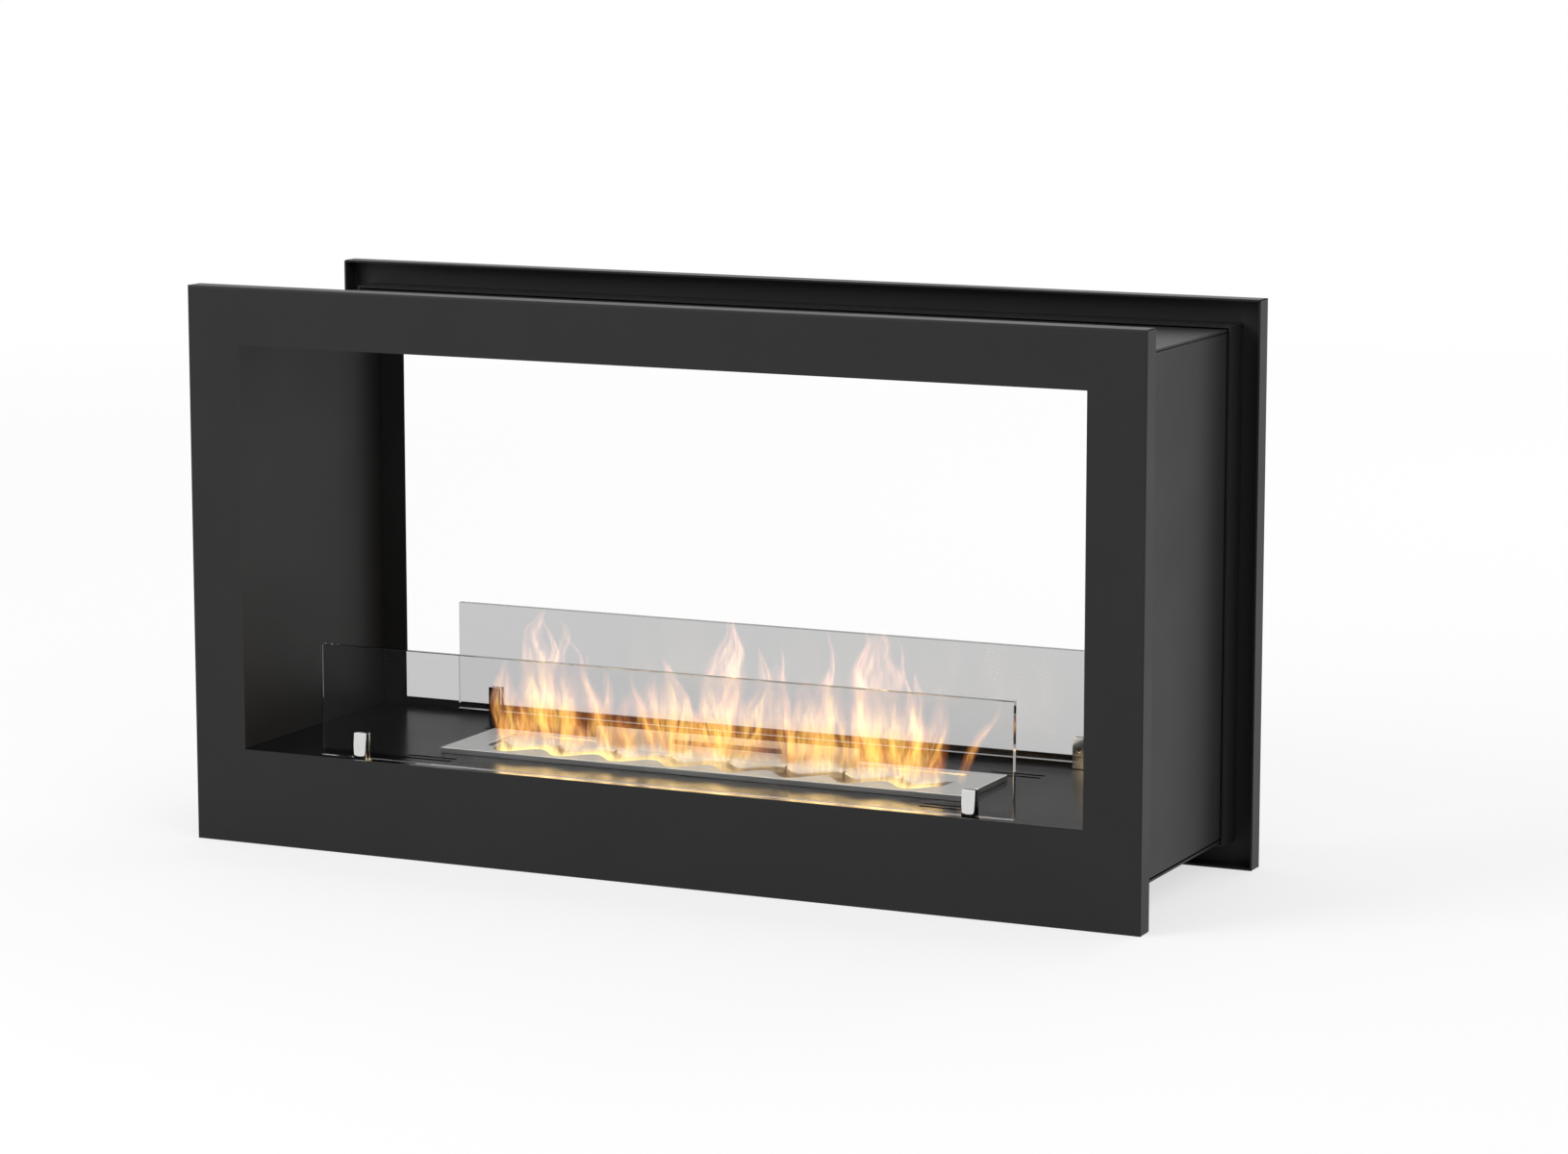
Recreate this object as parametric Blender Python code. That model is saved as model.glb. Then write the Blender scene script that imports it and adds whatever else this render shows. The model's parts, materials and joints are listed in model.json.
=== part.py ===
"""Built-in double-sided fireplace: two face frames on an open casing, with a drop-in fuel burner.

Metres, +Z up. The origin is the bottom centre of the outline. The front looks along -Y, and the
rear is the same as the front.
"""

import math

import bmesh
import bpy
from mathutils import Vector

# Shared by all pieces
SEAT_GAP = 0.0003
CUT_OVERRUN = 0.002
ARC_STEPS = 4

# Face frames, alike at the front and the rear
FACE_WIDTH = 1.000
FACE_HEIGHT = 0.552
OVERALL_DEPTH = 0.324
FACE_SHEET = 0.002
FACE_RETURN = 0.022
FACE_FOLD_RADIUS = 0.002
FACE_INNER_RADIUS = 0.0004
CORNER_SLIT = 0.0012
SIDE_BORDER = 0.0568
TOP_BORDER = 0.0568
SILL_BORDER = 0.0944

# Open casing between the two faces
CASING_SHEET = 0.0021
CASING_INSET = 0.028
CASING_FLANGE = 0.015
CASING_FOLD_RADIUS = 0.003

# Sleeve of four strips that each face slides over the casing with
SLEEVE_SHEET = 0.0019
SLEEVE_LENGTH = 0.035
SLEEVE_CLEARANCE = 0.0015

# Hearth plate between the side channels
HEARTH_TOP = 0.086
HEARTH_SHEET = 0.0022
HEARTH_SIDE_CLEARANCE = 0.0004

# Supports under the hearth plate
SUPPORT_SIDE_SPACE = 0.097
SUPPORT_WIDTH = 0.030
SUPPORT_SHEET = 0.0018
SUPPORT_END_SPACE = 0.012
SUPPORT_FLANGE_CLEARANCE = 0.0005
SUPPORT_FOLD_RADIUS = 0.0028

# Pairs of air slots beside the burner
VENT_END_SPACE = 0.003
VENT_LENGTH = 0.055
VENT_WIDTH = 0.0025
VENT_INNER_Y = 0.0775
VENT_PITCH = 0.0115

# Burner flange with its wavy opening
BURNER_SHEET = 0.0015
FLANGE_SIDE_SPACE = 0.191
FLANGE_DEPTH = 0.110
FLANGE_RISE = 0.006
FLANGE_FOLD_RADIUS = 0.0016
FLANGE_INNER_RADIUS = 0.0005
OPENING_END_BORDER = 0.0335
OPENING_REAR_Y = 0.041
OPENING_CORNER_RADIUS = 0.005
WAVE_PITCH = 0.062
WAVE_HEIGHT = 0.012
WAVE_FRONT_Y = -0.036
WAVE_STEPS = 10

# Fuel tank that hangs from the flange through the hearth
TANK_BEARING = 0.0033
TANK_END_SPACE = 0.027
TANK_HEIGHT = 0.050
TANK_FOLD_RADIUS = 0.0025
TANK_CUTOUT_CLEARANCE = 0.0013
DECK_LEDGE = 0.0105
WOOL_TOP_SPACE = 0.013
WOOL_SIDE_CLEARANCE = 0.0006
WOOL_EDGE = 0.0024

# Sliding lid with its down-turned wavy lip
LID_DROP = 0.001
LID_FRONT_Y = -0.005
LID_END_CLEARANCE = 0.0014
LID_REAR_CLEARANCE = 0.0006
LIP_HEIGHT = 0.005
LIP_INSET = 0.0002
LIP_END_CLEARANCE = 0.0011
LIP_DECK_CLEARANCE = 0.0017
RELIEF_WIDTH = 0.0032
RELIEF_DEPTH = 0.0046
RELIEF_SHIFT = 0.007

# Upright handle plate on the lid
HANDLE_WIDTH = 0.286
HANDLE_HEIGHT = 0.0214
HANDLE_SHEET = 0.0014
HANDLE_FRONT_Y = 0.014
HANDLE_CORNER_RADIUS = 0.0012
HANDLE_SLOT_WIDTH = 0.121
HANDLE_SLOT_HEIGHT = 0.0052
HANDLE_SLOT_LIFT = 0.0092

# Glass screens
GLASS_SIDE_SPACE = 0.105
GLASS_HEIGHT = 0.111
GLASS_THICKNESS = 0.006
GLASS_LIFT = 0.006
GLASS_SETBACK = 0.020
GLASS_ARRIS = 0.0005

# Clips that hold the glass
CLIP_END_SPACE = 0.044
CLIP_WIDTH = 0.0135
CLIP_HEIGHT = 0.031
CLIP_OUTER_WALL = 0.0038
CLIP_INNER_WALL = 0.0027
CLIP_NOSE = 0.0013
CLIP_SLANT_START = 0.009
CLIP_SLANT_DEPTH = 0.0026
CLIP_NOSE_STEPS = 10

# Screws of the clips
CLAMP_SCREW_RADIUS = 0.002
CLAMP_SCREW_HEIGHT = 0.0193
CLAMP_SCREW_LENGTH = 0.0032
CLAMP_SOCKET_RADIUS = 0.0011
CLAMP_SOCKET_DEPTH = 0.0014
SCREW_CLEARANCE = 0.00035
BOLT_RADIUS = 0.0019
BOLT_REACH = 0.0042
BOLT_HEAD_RADIUS = 0.0036
BOLT_HEAD_HEIGHT = 0.0023
BOLT_SOCKET_RADIUS = 0.0013
BOLT_SOCKET_DEPTH = 0.0012
SCREW_SIDES = 18

# Places that follow from the sizes above
CASING_HALF_WIDTH = FACE_WIDTH / 2 - CASING_INSET
CASING_BASE = CASING_INSET
CASING_ROOF = FACE_HEIGHT - CASING_INSET
CASING_HALF_DEPTH = OVERALL_DEPTH / 2 - FACE_SHEET - SEAT_GAP
HEARTH_HALF_WIDTH = CASING_HALF_WIDTH - CASING_SHEET - HEARTH_SIDE_CLEARANCE
SUPPORT_X = CASING_HALF_WIDTH - SUPPORT_SIDE_SPACE
SUPPORT_REACH = SUPPORT_WIDTH / 2 + SUPPORT_FLANGE_CLEARANCE
SUPPORT_END_X = CASING_HALF_WIDTH - CASING_FLANGE - SUPPORT_REACH
FLANGE_HALF_WIDTH = CASING_HALF_WIDTH - FLANGE_SIDE_SPACE
FLANGE_TOP = HEARTH_TOP + FLANGE_RISE
VENT_X = FLANGE_HALF_WIDTH - VENT_END_SPACE
OPENING_HALF_WIDTH = FLANGE_HALF_WIDTH - OPENING_END_BORDER
TANK_HALF_WIDTH = FLANGE_HALF_WIDTH - BURNER_SHEET - TANK_END_SPACE
TANK_HALF_DEPTH = FLANGE_DEPTH / 2 - BURNER_SHEET - TANK_BEARING
TANK_TOP = FLANGE_TOP - BURNER_SHEET - SEAT_GAP
TANK_BASE = TANK_TOP - TANK_HEIGHT
LID_TOP = FLANGE_TOP - LID_DROP
LID_BASE = LID_TOP - BURNER_SHEET
DECK_TOP = LID_BASE - SEAT_GAP
DECK_HALF_WIDTH = TANK_HALF_WIDTH - BURNER_SHEET - SEAT_GAP
DECK_HALF_DEPTH = TANK_HALF_DEPTH - BURNER_SHEET - SEAT_GAP
DECK_EDGE_Y = LID_FRONT_Y + WAVE_HEIGHT + LIP_INSET + BURNER_SHEET + LIP_DECK_CLEARANCE
LIP_HALF_WIDTH = DECK_HALF_WIDTH - DECK_LEDGE - LIP_END_CLEARANCE
GLASS_HALF_WIDTH = CASING_HALF_WIDTH - GLASS_SIDE_SPACE
GLASS_BASE = HEARTH_TOP + GLASS_LIFT
GLASS_Y = OVERALL_DEPTH / 2 - GLASS_SETBACK - GLASS_THICKNESS / 2
CLIP_X = GLASS_HALF_WIDTH - CLIP_END_SPACE
CLIP_BASE = HEARTH_TOP + SEAT_GAP
CLIP_SLOT_HALF = GLASS_THICKNESS / 2 + SEAT_GAP
CLIP_SLOT_FLOOR = GLASS_LIFT - 2 * SEAT_GAP
UPRIGHT = (math.pi / 2, 0, 0)
UPRIGHT_TURNED = (math.pi / 2, 0, math.pi)


def clear_scene():
    """Remove every object that the file opened with."""
    for old in list(bpy.data.objects):
        bpy.data.objects.remove(old, do_unlink=True)


def make_material(name, colour, roughness, metallic, alpha=1.0):
    """Make a Principled material from its linear colour."""
    material = bpy.data.materials.new(name)
    material.use_nodes = True
    shader = material.node_tree.nodes["Principled BSDF"]
    shader.inputs["Base Color"].default_value = (*colour, 1.0)
    shader.inputs["Roughness"].default_value = roughness
    shader.inputs["Metallic"].default_value = metallic
    shader.inputs["Alpha"].default_value = alpha
    return material


def rectangle(half_x, low_y, high_y):
    """Return a rectangle that is centred on x, counter-clockwise."""
    return [(-half_x, low_y), (half_x, low_y), (half_x, high_y), (-half_x, high_y)]


def centred(half_x, half_y):
    """Return a rectangle centred on the origin."""
    return rectangle(half_x, -half_y, half_y)


def arc(centre_x, centre_y, radius, start, turn, steps=ARC_STEPS):
    """Return the points of an arc; start and turn are in quarter turns."""
    angles = [math.pi / 2 * (start + turn * i / steps) for i in range(steps + 1)]
    return [(centre_x + radius * math.cos(a), centre_y + radius * math.sin(a)) for a in angles]


def polygon(radius, sides=SCREW_SIDES):
    """Return a circle with the given number of sides."""
    return arc(0, 0, radius, 0, 4, sides)[:-1]


def hexagon(radius, sides=SCREW_SIDES):
    """Return a hexagon of the given flat radius that has as many points as a circle."""
    points = []
    for i in range(sides):
        angle = 2 * math.pi * i / sides
        reach = radius / math.cos((angle + math.pi / 6) % (math.pi / 3) - math.pi / 6)
        points.append((reach * math.cos(angle), reach * math.sin(angle)))
    return points


def round_slot(centre_x, centre_y, length, width):
    """Return a slot along x with round ends."""
    radius = width / 2
    reach = length / 2 - radius
    right = arc(centre_x + reach, centre_y, radius, -1, 2)
    left = arc(centre_x - reach, centre_y, radius, 1, 2)
    return right + left


def join_rings(bm, upper, lower):
    """Join two rings of vertices with quads."""
    count = len(upper)
    for i in range(count):
        j = (i + 1) % count
        bm.faces.new((upper[i], upper[j], lower[j], lower[i]))


def ring_edges(bm, ring):
    """Return the edges round a ring, made where they are missing."""
    edges = []
    for i, vertex in enumerate(ring):
        following = ring[(i + 1) % len(ring)]
        edges.append(bm.edges.get((vertex, following)) or bm.edges.new((vertex, following)))
    return edges


def solid(name, rim, holes=(), ribs=(), rib_height=0):
    """Make a closed mesh from a rim and the holes between its first and last outlines.

    The rim is a list of (outline, height) pairs with equal numbers of points. It starts at the
    edge of one surface of a sheet, runs over its folds and ends at the edge of the other surface.
    The holes are cut square through the sheet. The ribs are outlines on the last surface that
    stand out from it by rib_height.
    """
    bm = bmesh.new()
    rings = [[bm.verts.new((x, y, height)) for x, y in outline] for outline, height in rim]
    for upper, lower in zip(rings, rings[1:]):
        join_rings(bm, upper, lower)
    surfaces = [(rim[end][1], ring_edges(bm, rings[end])) for end in (0, -1)]
    for outline in holes:
        walls = []
        for height, edges in surfaces:
            ring = [bm.verts.new((x, y, height)) for x, y in outline]
            walls.append(ring)
            edges.extend(ring_edges(bm, ring))
        join_rings(bm, *walls)
    last_height, last_edges = surfaces[-1]
    for outline in ribs:
        root = [bm.verts.new((x, y, last_height)) for x, y in outline]
        end = [bm.verts.new((x, y, last_height - rib_height)) for x, y in outline]
        last_edges.extend(ring_edges(bm, root))
        join_rings(bm, root, end)
        bm.faces.new(end)
    for _, edges in surfaces:
        bmesh.ops.triangle_fill(bm, use_beauty=True, edges=edges, normal=(0, 0, 1))
    bmesh.ops.recalc_face_normals(bm, faces=bm.faces)
    mesh = bpy.data.meshes.new(name)
    bm.to_mesh(mesh)
    bm.free()
    return mesh


def prism(name, outline, low, high, holes=()):
    """Make a plate or a bar of one outline."""
    return solid(name, [(outline, high), (outline, low)], holes)


def folded_rim(outer, top, foot, sheet, fold_radius, inner_radius):
    """Return the rim of a sheet whose edges fold down; outer(inset) gives its outline."""
    rim = []
    for i in range(ARC_STEPS + 1):
        angle = math.pi / 2 * i / ARC_STEPS
        inset = fold_radius * (1 - math.sin(angle))
        rim.append((outer(inset), top - fold_radius * (1 - math.cos(angle))))
    rim.append((outer(0), foot))
    rim.append((outer(sheet), foot))
    rim.append((outer(sheet), top - sheet - inner_radius))
    rim.append((outer(sheet + inner_radius), top - sheet))
    return rim


def boolean(name, base, operation, tool):
    """Return a mesh of base with the tool cut from it or joined to it."""
    base_object = bpy.data.objects.new(name, base)
    tool_object = bpy.data.objects.new(name + "_tool", tool)
    for item in (base_object, tool_object):
        bpy.context.collection.objects.link(item)
    modifier = base_object.modifiers.new("boolean", "BOOLEAN")
    modifier.operation = operation
    modifier.object = tool_object
    modifier.solver = "EXACT"
    graph = bpy.context.evaluated_depsgraph_get()
    mesh = bpy.data.meshes.new_from_object(base_object.evaluated_get(graph))
    mesh.name = name
    for item in (base_object, tool_object):
        bpy.data.objects.remove(item, do_unlink=True)
    return mesh


def moved(mesh, offset):
    """Move a mesh in its own space."""
    for vertex in mesh.vertices:
        vertex.co += Vector(offset)
    return mesh


def stood(mesh):
    """Turn a mesh so that its height runs along -y and its y runs up."""
    for vertex in mesh.vertices:
        x, y, z = vertex.co
        vertex.co = (x, -z, y)
    return mesh


def place(name, mesh, material, location=(0, 0, 0), rotation=(0, 0, 0), parent=None):
    """Add a piece at a place in the world, carried by an empty where one is given."""
    piece = bpy.data.objects.new(name, mesh)
    bpy.context.collection.objects.link(piece)
    if not mesh.materials:
        mesh.materials.append(material)
    piece.location = Vector(location)
    piece.rotation_euler = rotation
    if parent:
        piece.parent = parent
        piece.location -= Vector(parent["world_place"])
    return piece


def carrier(name, location, parent=None):
    """Add an empty on a joint's axis to carry the pieces that move together."""
    empty = bpy.data.objects.new(name, None)
    bpy.context.collection.objects.link(empty)
    empty["world_place"] = location
    empty.location = location
    if parent:
        empty.parent = parent
        empty.location = Vector(location) - Vector(parent["world_place"])
    return empty


def smooth(mesh, angle=math.radians(35)):
    """Shade a round piece smooth and keep its sharp edges."""
    mesh.shade_smooth()
    mesh.set_sharp_from_angle(angle=angle)
    return mesh


def wave_y(x, mean_y):
    """Return the wavy edge's y at x: a cosine whose crests lie at whole pitches."""
    return mean_y + WAVE_HEIGHT * math.cos(2 * math.pi * x / WAVE_PITCH)


def wave_line(low_x, high_x, mean_y):
    """Return the points of a wavy edge between two places along x."""
    count = max(2, math.ceil((high_x - low_x) / WAVE_PITCH * WAVE_STEPS))
    places = [low_x + (high_x - low_x) * i / count for i in range(count + 1)]
    return [(x, wave_y(x, mean_y)) for x in places]


def rear_corners(half_width, rear_y, corner_radius):
    """Return the round rear corners of an outline, from the right one to the left one."""
    side = half_width - corner_radius
    right = arc(side, rear_y - corner_radius, corner_radius, 0, 1)
    left = arc(-side, rear_y - corner_radius, corner_radius, 1, 1)
    return right + left


def relief_places():
    """Return the x of each narrow relief in the lid's wavy edge, one beside each crest."""
    reach = math.ceil(LIP_HALF_WIDTH / WAVE_PITCH)
    places = [i * WAVE_PITCH + RELIEF_SHIFT for i in range(-reach, reach + 1)]
    return [x for x in places if abs(x) < LIP_HALF_WIDTH - WAVE_PITCH / 4]


def relief_spans(half_width):
    """Return the stretches of the lid's wavy edge between its reliefs."""
    spans = []
    low = -half_width
    for x in relief_places():
        spans.append((low, x - RELIEF_WIDTH / 2))
        low = x + RELIEF_WIDTH / 2
    spans.append((low, half_width))
    return spans


def lid_outline(half_width):
    """Return the lid's outline: a wavy front with reliefs, straight ends and round rear corners."""
    outline = []
    for low, high in relief_spans(half_width):
        if outline:
            floor_y = wave_y((outline[-1][0] + low) / 2, LID_FRONT_Y) + RELIEF_DEPTH
            outline += [(outline[-1][0], floor_y), (low, floor_y)]
        outline += wave_line(low, high, LID_FRONT_Y)
    return outline + rear_corners(half_width, OPENING_REAR_Y - LID_REAR_CLEARANCE,
                                  OPENING_CORNER_RADIUS)


def lip_outlines():
    """Return the lengths of lip between the reliefs, one sheet thick across the wavy line."""
    outlines = []
    for low, high in relief_spans(LIP_HALF_WIDTH):
        near, far = [], []
        for x, y in wave_line(low + LIP_INSET, high - LIP_INSET, LID_FRONT_Y):
            slope = WAVE_HEIGHT * math.sin(2 * math.pi * x / WAVE_PITCH) * 2 * math.pi / WAVE_PITCH
            across = math.hypot(slope, 1)
            near.append((x, y + LIP_INSET * across))
            far.append((x, y + (LIP_INSET + BURNER_SHEET) * across))
        outlines.append(near + far[::-1])
    return outlines


def channel_outline(height, flange, sheet, radius):
    """Return a C with its back along x = 0 and its two flanges towards +x, from y = 0 up."""
    inner = radius - sheet
    top = height - radius
    outside = arc(radius, top, radius, 1, 1) + arc(radius, radius, radius, 2, 1)
    inside = arc(radius, radius, inner, 3, -1) + arc(radius, top, inner, 2, -1)
    upper_end = [(flange, height - sheet), (flange, height)]
    lower_end = [(flange, 0), (flange, sheet)]
    return upper_end + outside + lower_end + inside


def vent_outlines():
    """Return the four pairs of air slots."""
    outlines = []
    for x in (-VENT_X, VENT_X):
        for side in (-1, 1):
            for row in range(2):
                y = side * (VENT_INNER_Y + row * VENT_PITCH)
                outlines.append(round_slot(x, y, VENT_LENGTH, VENT_WIDTH))
    return outlines


def corner_slits():
    """Return the outlines of the slits between the returns, one across each corner."""
    half = CORNER_SLIT / 2 / math.sqrt(2)
    start, end = -CUT_OVERRUN, FACE_SHEET + CUT_OVERRUN
    outlines = []
    for side in (-1, 1):
        for corner_y, inward in ((0, 1), (FACE_HEIGHT, -1)):
            outlines.append([
                (side * (FACE_WIDTH / 2 - along - across), corner_y + inward * (along - across))
                for along, across in ((start, -half), (end, -half), (end, half), (start, half))
            ])
    return outlines


def build_faces(material):
    """Build both face frames from one mesh: a flat border with a folded return all round."""
    def outline(inset):
        return rectangle(FACE_WIDTH / 2 - inset, inset, FACE_HEIGHT - inset)

    rim = folded_rim(outline, 0, -FACE_RETURN, FACE_SHEET, FACE_FOLD_RADIUS, FACE_INNER_RADIUS)
    opening = rectangle(FACE_WIDTH / 2 - SIDE_BORDER, SILL_BORDER, FACE_HEIGHT - TOP_BORDER)
    mesh = solid("face_frame", rim, [opening])
    for slit_outline in corner_slits():
        slit = prism("corner_slit", slit_outline, -FACE_RETURN - CUT_OVERRUN,
                     -FACE_SHEET - FACE_INNER_RADIUS)
        mesh = boolean("face_frame", mesh, "DIFFERENCE", slit)
    place("front_face", mesh, material, (0, -OVERALL_DEPTH / 2, 0), UPRIGHT)
    place("rear_face", mesh, material, (0, OVERALL_DEPTH / 2, 0), UPRIGHT_TURNED)


def build_sleeves(material):
    """Build the sleeves that stand on the faces' backs round the casing, four strips to each."""
    reach = CASING_HALF_WIDTH + SLEEVE_CLEARANCE + SLEEVE_SHEET
    low, high = CASING_BASE - SLEEVE_CLEARANCE, CASING_ROOF + SLEEVE_CLEARANCE
    level = prism("sleeve_level", rectangle(reach, 0, SLEEVE_SHEET), -SLEEVE_LENGTH, 0)
    height = high - low - 2 * SEAT_GAP
    side = prism("sleeve_side", rectangle(SLEEVE_SHEET / 2, 0, height), -SLEEVE_LENGTH, 0)
    side_x = reach - SLEEVE_SHEET / 2
    back = OVERALL_DEPTH / 2 - FACE_SHEET - SEAT_GAP
    for name, y, turned in (("front_sleeve", -back, UPRIGHT), ("rear_sleeve", back, UPRIGHT_TURNED)):
        place(name + "_top", level, material, (0, y, high), turned)
        place(name + "_bottom", level, material, (0, y, low - SLEEVE_SHEET), turned)
        place(name + "_left", side, material, (-side_x, y, low + SEAT_GAP), turned)
        place(name + "_right", side, material, (side_x, y, low + SEAT_GAP), turned)


def build_casing(material):
    """Build the casing: a roof and a floor sheet on two side channels."""
    sheet = centred(CASING_HALF_WIDTH, CASING_HALF_DEPTH)
    roof = prism("casing_top", sheet, 0, CASING_SHEET)
    place("casing_top", roof, material, (0, 0, CASING_ROOF - CASING_SHEET))
    floor = prism("casing_bottom", sheet, 0, CASING_SHEET, vent_outlines())
    place("casing_bottom", floor, material, (0, 0, CASING_BASE))
    foot = CASING_BASE + CASING_SHEET + SEAT_GAP
    height = CASING_ROOF - CASING_SHEET - SEAT_GAP - foot
    outline = channel_outline(height, CASING_FLANGE, CASING_SHEET, CASING_FOLD_RADIUS)
    side = smooth(prism("casing_side", outline, -CASING_HALF_DEPTH, CASING_HALF_DEPTH))
    place("casing_left_side", side, material, (-CASING_HALF_WIDTH, 0, foot), UPRIGHT)
    place("casing_right_side", side, material, (CASING_HALF_WIDTH, 0, foot), UPRIGHT_TURNED)


def build_hearth(material, support_material):
    """Build the hearth plate with the burner's cut-out, and the supports under it."""
    half_x = TANK_HALF_WIDTH + TANK_CUTOUT_CLEARANCE
    half_y = TANK_HALF_DEPTH + TANK_CUTOUT_CLEARANCE
    holes = [centred(half_x, half_y)] + vent_outlines()
    for x in (-CLIP_X, CLIP_X):
        for y in (-GLASS_Y, GLASS_Y):
            bore = polygon(BOLT_RADIUS + SCREW_CLEARANCE)
            holes.append([(x + px, y + py) for px, py in bore])
    sheet = centred(HEARTH_HALF_WIDTH, CASING_HALF_DEPTH)
    plate = smooth(prism("hearth_plate", sheet, -HEARTH_SHEET, 0, holes))
    place("hearth_plate", plate, material, (0, 0, HEARTH_TOP))
    foot = CASING_BASE + CASING_SHEET + SEAT_GAP
    height = HEARTH_TOP - HEARTH_SHEET - SEAT_GAP - foot
    channel = channel_outline(SUPPORT_WIDTH, height, SUPPORT_SHEET, SUPPORT_FOLD_RADIUS)
    upright = [(y - SUPPORT_WIDTH / 2, height - x) for x, y in channel]
    half = CASING_HALF_DEPTH - SUPPORT_END_SPACE
    support = smooth(prism("hearth_support", upright, -half, half))
    for name, x in (("", SUPPORT_X), ("_end", SUPPORT_END_X)):
        place("hearth_support_left" + name, support, support_material, (-x, 0, foot), UPRIGHT)
        place("hearth_support_right" + name, support, support_material, (x, 0, foot), UPRIGHT)


def build_burner(steel, wool_material, parent):
    """Build the burner's fixed pieces: flange, tank, deck and absorbent wool."""
    def outline(inset):
        return centred(FLANGE_HALF_WIDTH - inset, FLANGE_DEPTH / 2 - inset)

    foot = SEAT_GAP - FLANGE_RISE
    rim = folded_rim(outline, 0, foot, BURNER_SHEET, FLANGE_FOLD_RADIUS, FLANGE_INNER_RADIUS)
    opening = wave_line(-OPENING_HALF_WIDTH, OPENING_HALF_WIDTH, WAVE_FRONT_Y)
    opening += rear_corners(OPENING_HALF_WIDTH, OPENING_REAR_Y, OPENING_CORNER_RADIUS)
    flange = smooth(solid("burner_flange", rim, [opening]))
    place("burner_flange", flange, steel, (0, 0, FLANGE_TOP), parent=parent)

    def tank_outline(inset):
        return centred(TANK_HALF_WIDTH - inset, TANK_HALF_DEPTH - inset)

    rim = folded_rim(tank_outline, 0, -TANK_HEIGHT, BURNER_SHEET, TANK_FOLD_RADIUS,
                     TANK_FOLD_RADIUS - BURNER_SHEET)
    tank = solid("fuel_tank", [(points, -height) for points, height in rim])
    place("fuel_tank", smooth(tank), steel, (0, 0, TANK_BASE), parent=parent)

    inner = DECK_HALF_WIDTH - DECK_LEDGE
    deck_outline = [
        (-DECK_HALF_WIDTH, -DECK_HALF_DEPTH), (-inner, -DECK_HALF_DEPTH), (-inner, DECK_EDGE_Y),
        (inner, DECK_EDGE_Y), (inner, -DECK_HALF_DEPTH), (DECK_HALF_WIDTH, -DECK_HALF_DEPTH),
        (DECK_HALF_WIDTH, DECK_HALF_DEPTH), (-DECK_HALF_WIDTH, DECK_HALF_DEPTH),
    ]
    deck = prism("burner_deck", deck_outline, 0, BURNER_SHEET)
    place("burner_deck", deck, steel, (0, 0, DECK_TOP - BURNER_SHEET), parent=parent)

    space = BURNER_SHEET + WOOL_SIDE_CLEARANCE
    base = TANK_BASE + BURNER_SHEET + SEAT_GAP
    wool = prism("ceramic_wool", tank_outline(space), 0, TANK_TOP - WOOL_TOP_SPACE - base)
    pad = place("ceramic_wool", wool, wool_material, (0, 0, base), parent=parent)
    bevel = pad.modifiers.new("soft_edges", "BEVEL")
    bevel.width = WOOL_EDGE
    bevel.segments = 2


def build_lid(steel, parent):
    """Build the sliding lid with its wavy lip, and the handle plate that stands on it."""
    outline = lid_outline(OPENING_HALF_WIDTH - LID_END_CLEARANCE)
    rim = [(outline, BURNER_SHEET), (outline, 0)]
    lid = smooth(solid("slider_lid", rim, ribs=lip_outlines(), rib_height=LIP_HEIGHT))
    place("slider_lid", lid, steel, (0, 0, LID_BASE), parent=parent)

    side = HANDLE_WIDTH / 2 - HANDLE_CORNER_RADIUS
    top = HANDLE_HEIGHT - HANDLE_CORNER_RADIUS
    corners = arc(side, top, HANDLE_CORNER_RADIUS, 0, 1) + arc(-side, top, HANDLE_CORNER_RADIUS, 1, 1)
    blade = [(-HANDLE_WIDTH / 2, 0), (HANDLE_WIDTH / 2, 0)] + corners
    slot_top = HANDLE_SLOT_LIFT + HANDLE_SLOT_HEIGHT
    slot = rectangle(HANDLE_SLOT_WIDTH / 2, HANDLE_SLOT_LIFT, slot_top)
    handle = prism("slider_handle", blade, -HANDLE_SHEET, 0, [slot])
    place("slider_handle", handle, steel, (0, HANDLE_FRONT_Y, LID_TOP + SEAT_GAP), UPRIGHT, parent)


def build_glass(material):
    """Build the two glass screens with ground arrises."""
    mesh = prism("glass_screen", centred(GLASS_HALF_WIDTH, GLASS_THICKNESS / 2), 0, GLASS_HEIGHT)
    for name, y in (("front_glass", -GLASS_Y), ("rear_glass", GLASS_Y)):
        pane = place(name, mesh, material, (0, y, GLASS_BASE))
        bevel = pane.modifiers.new("arris", "BEVEL")
        bevel.width = GLASS_ARRIS
        bevel.segments = 1


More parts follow.
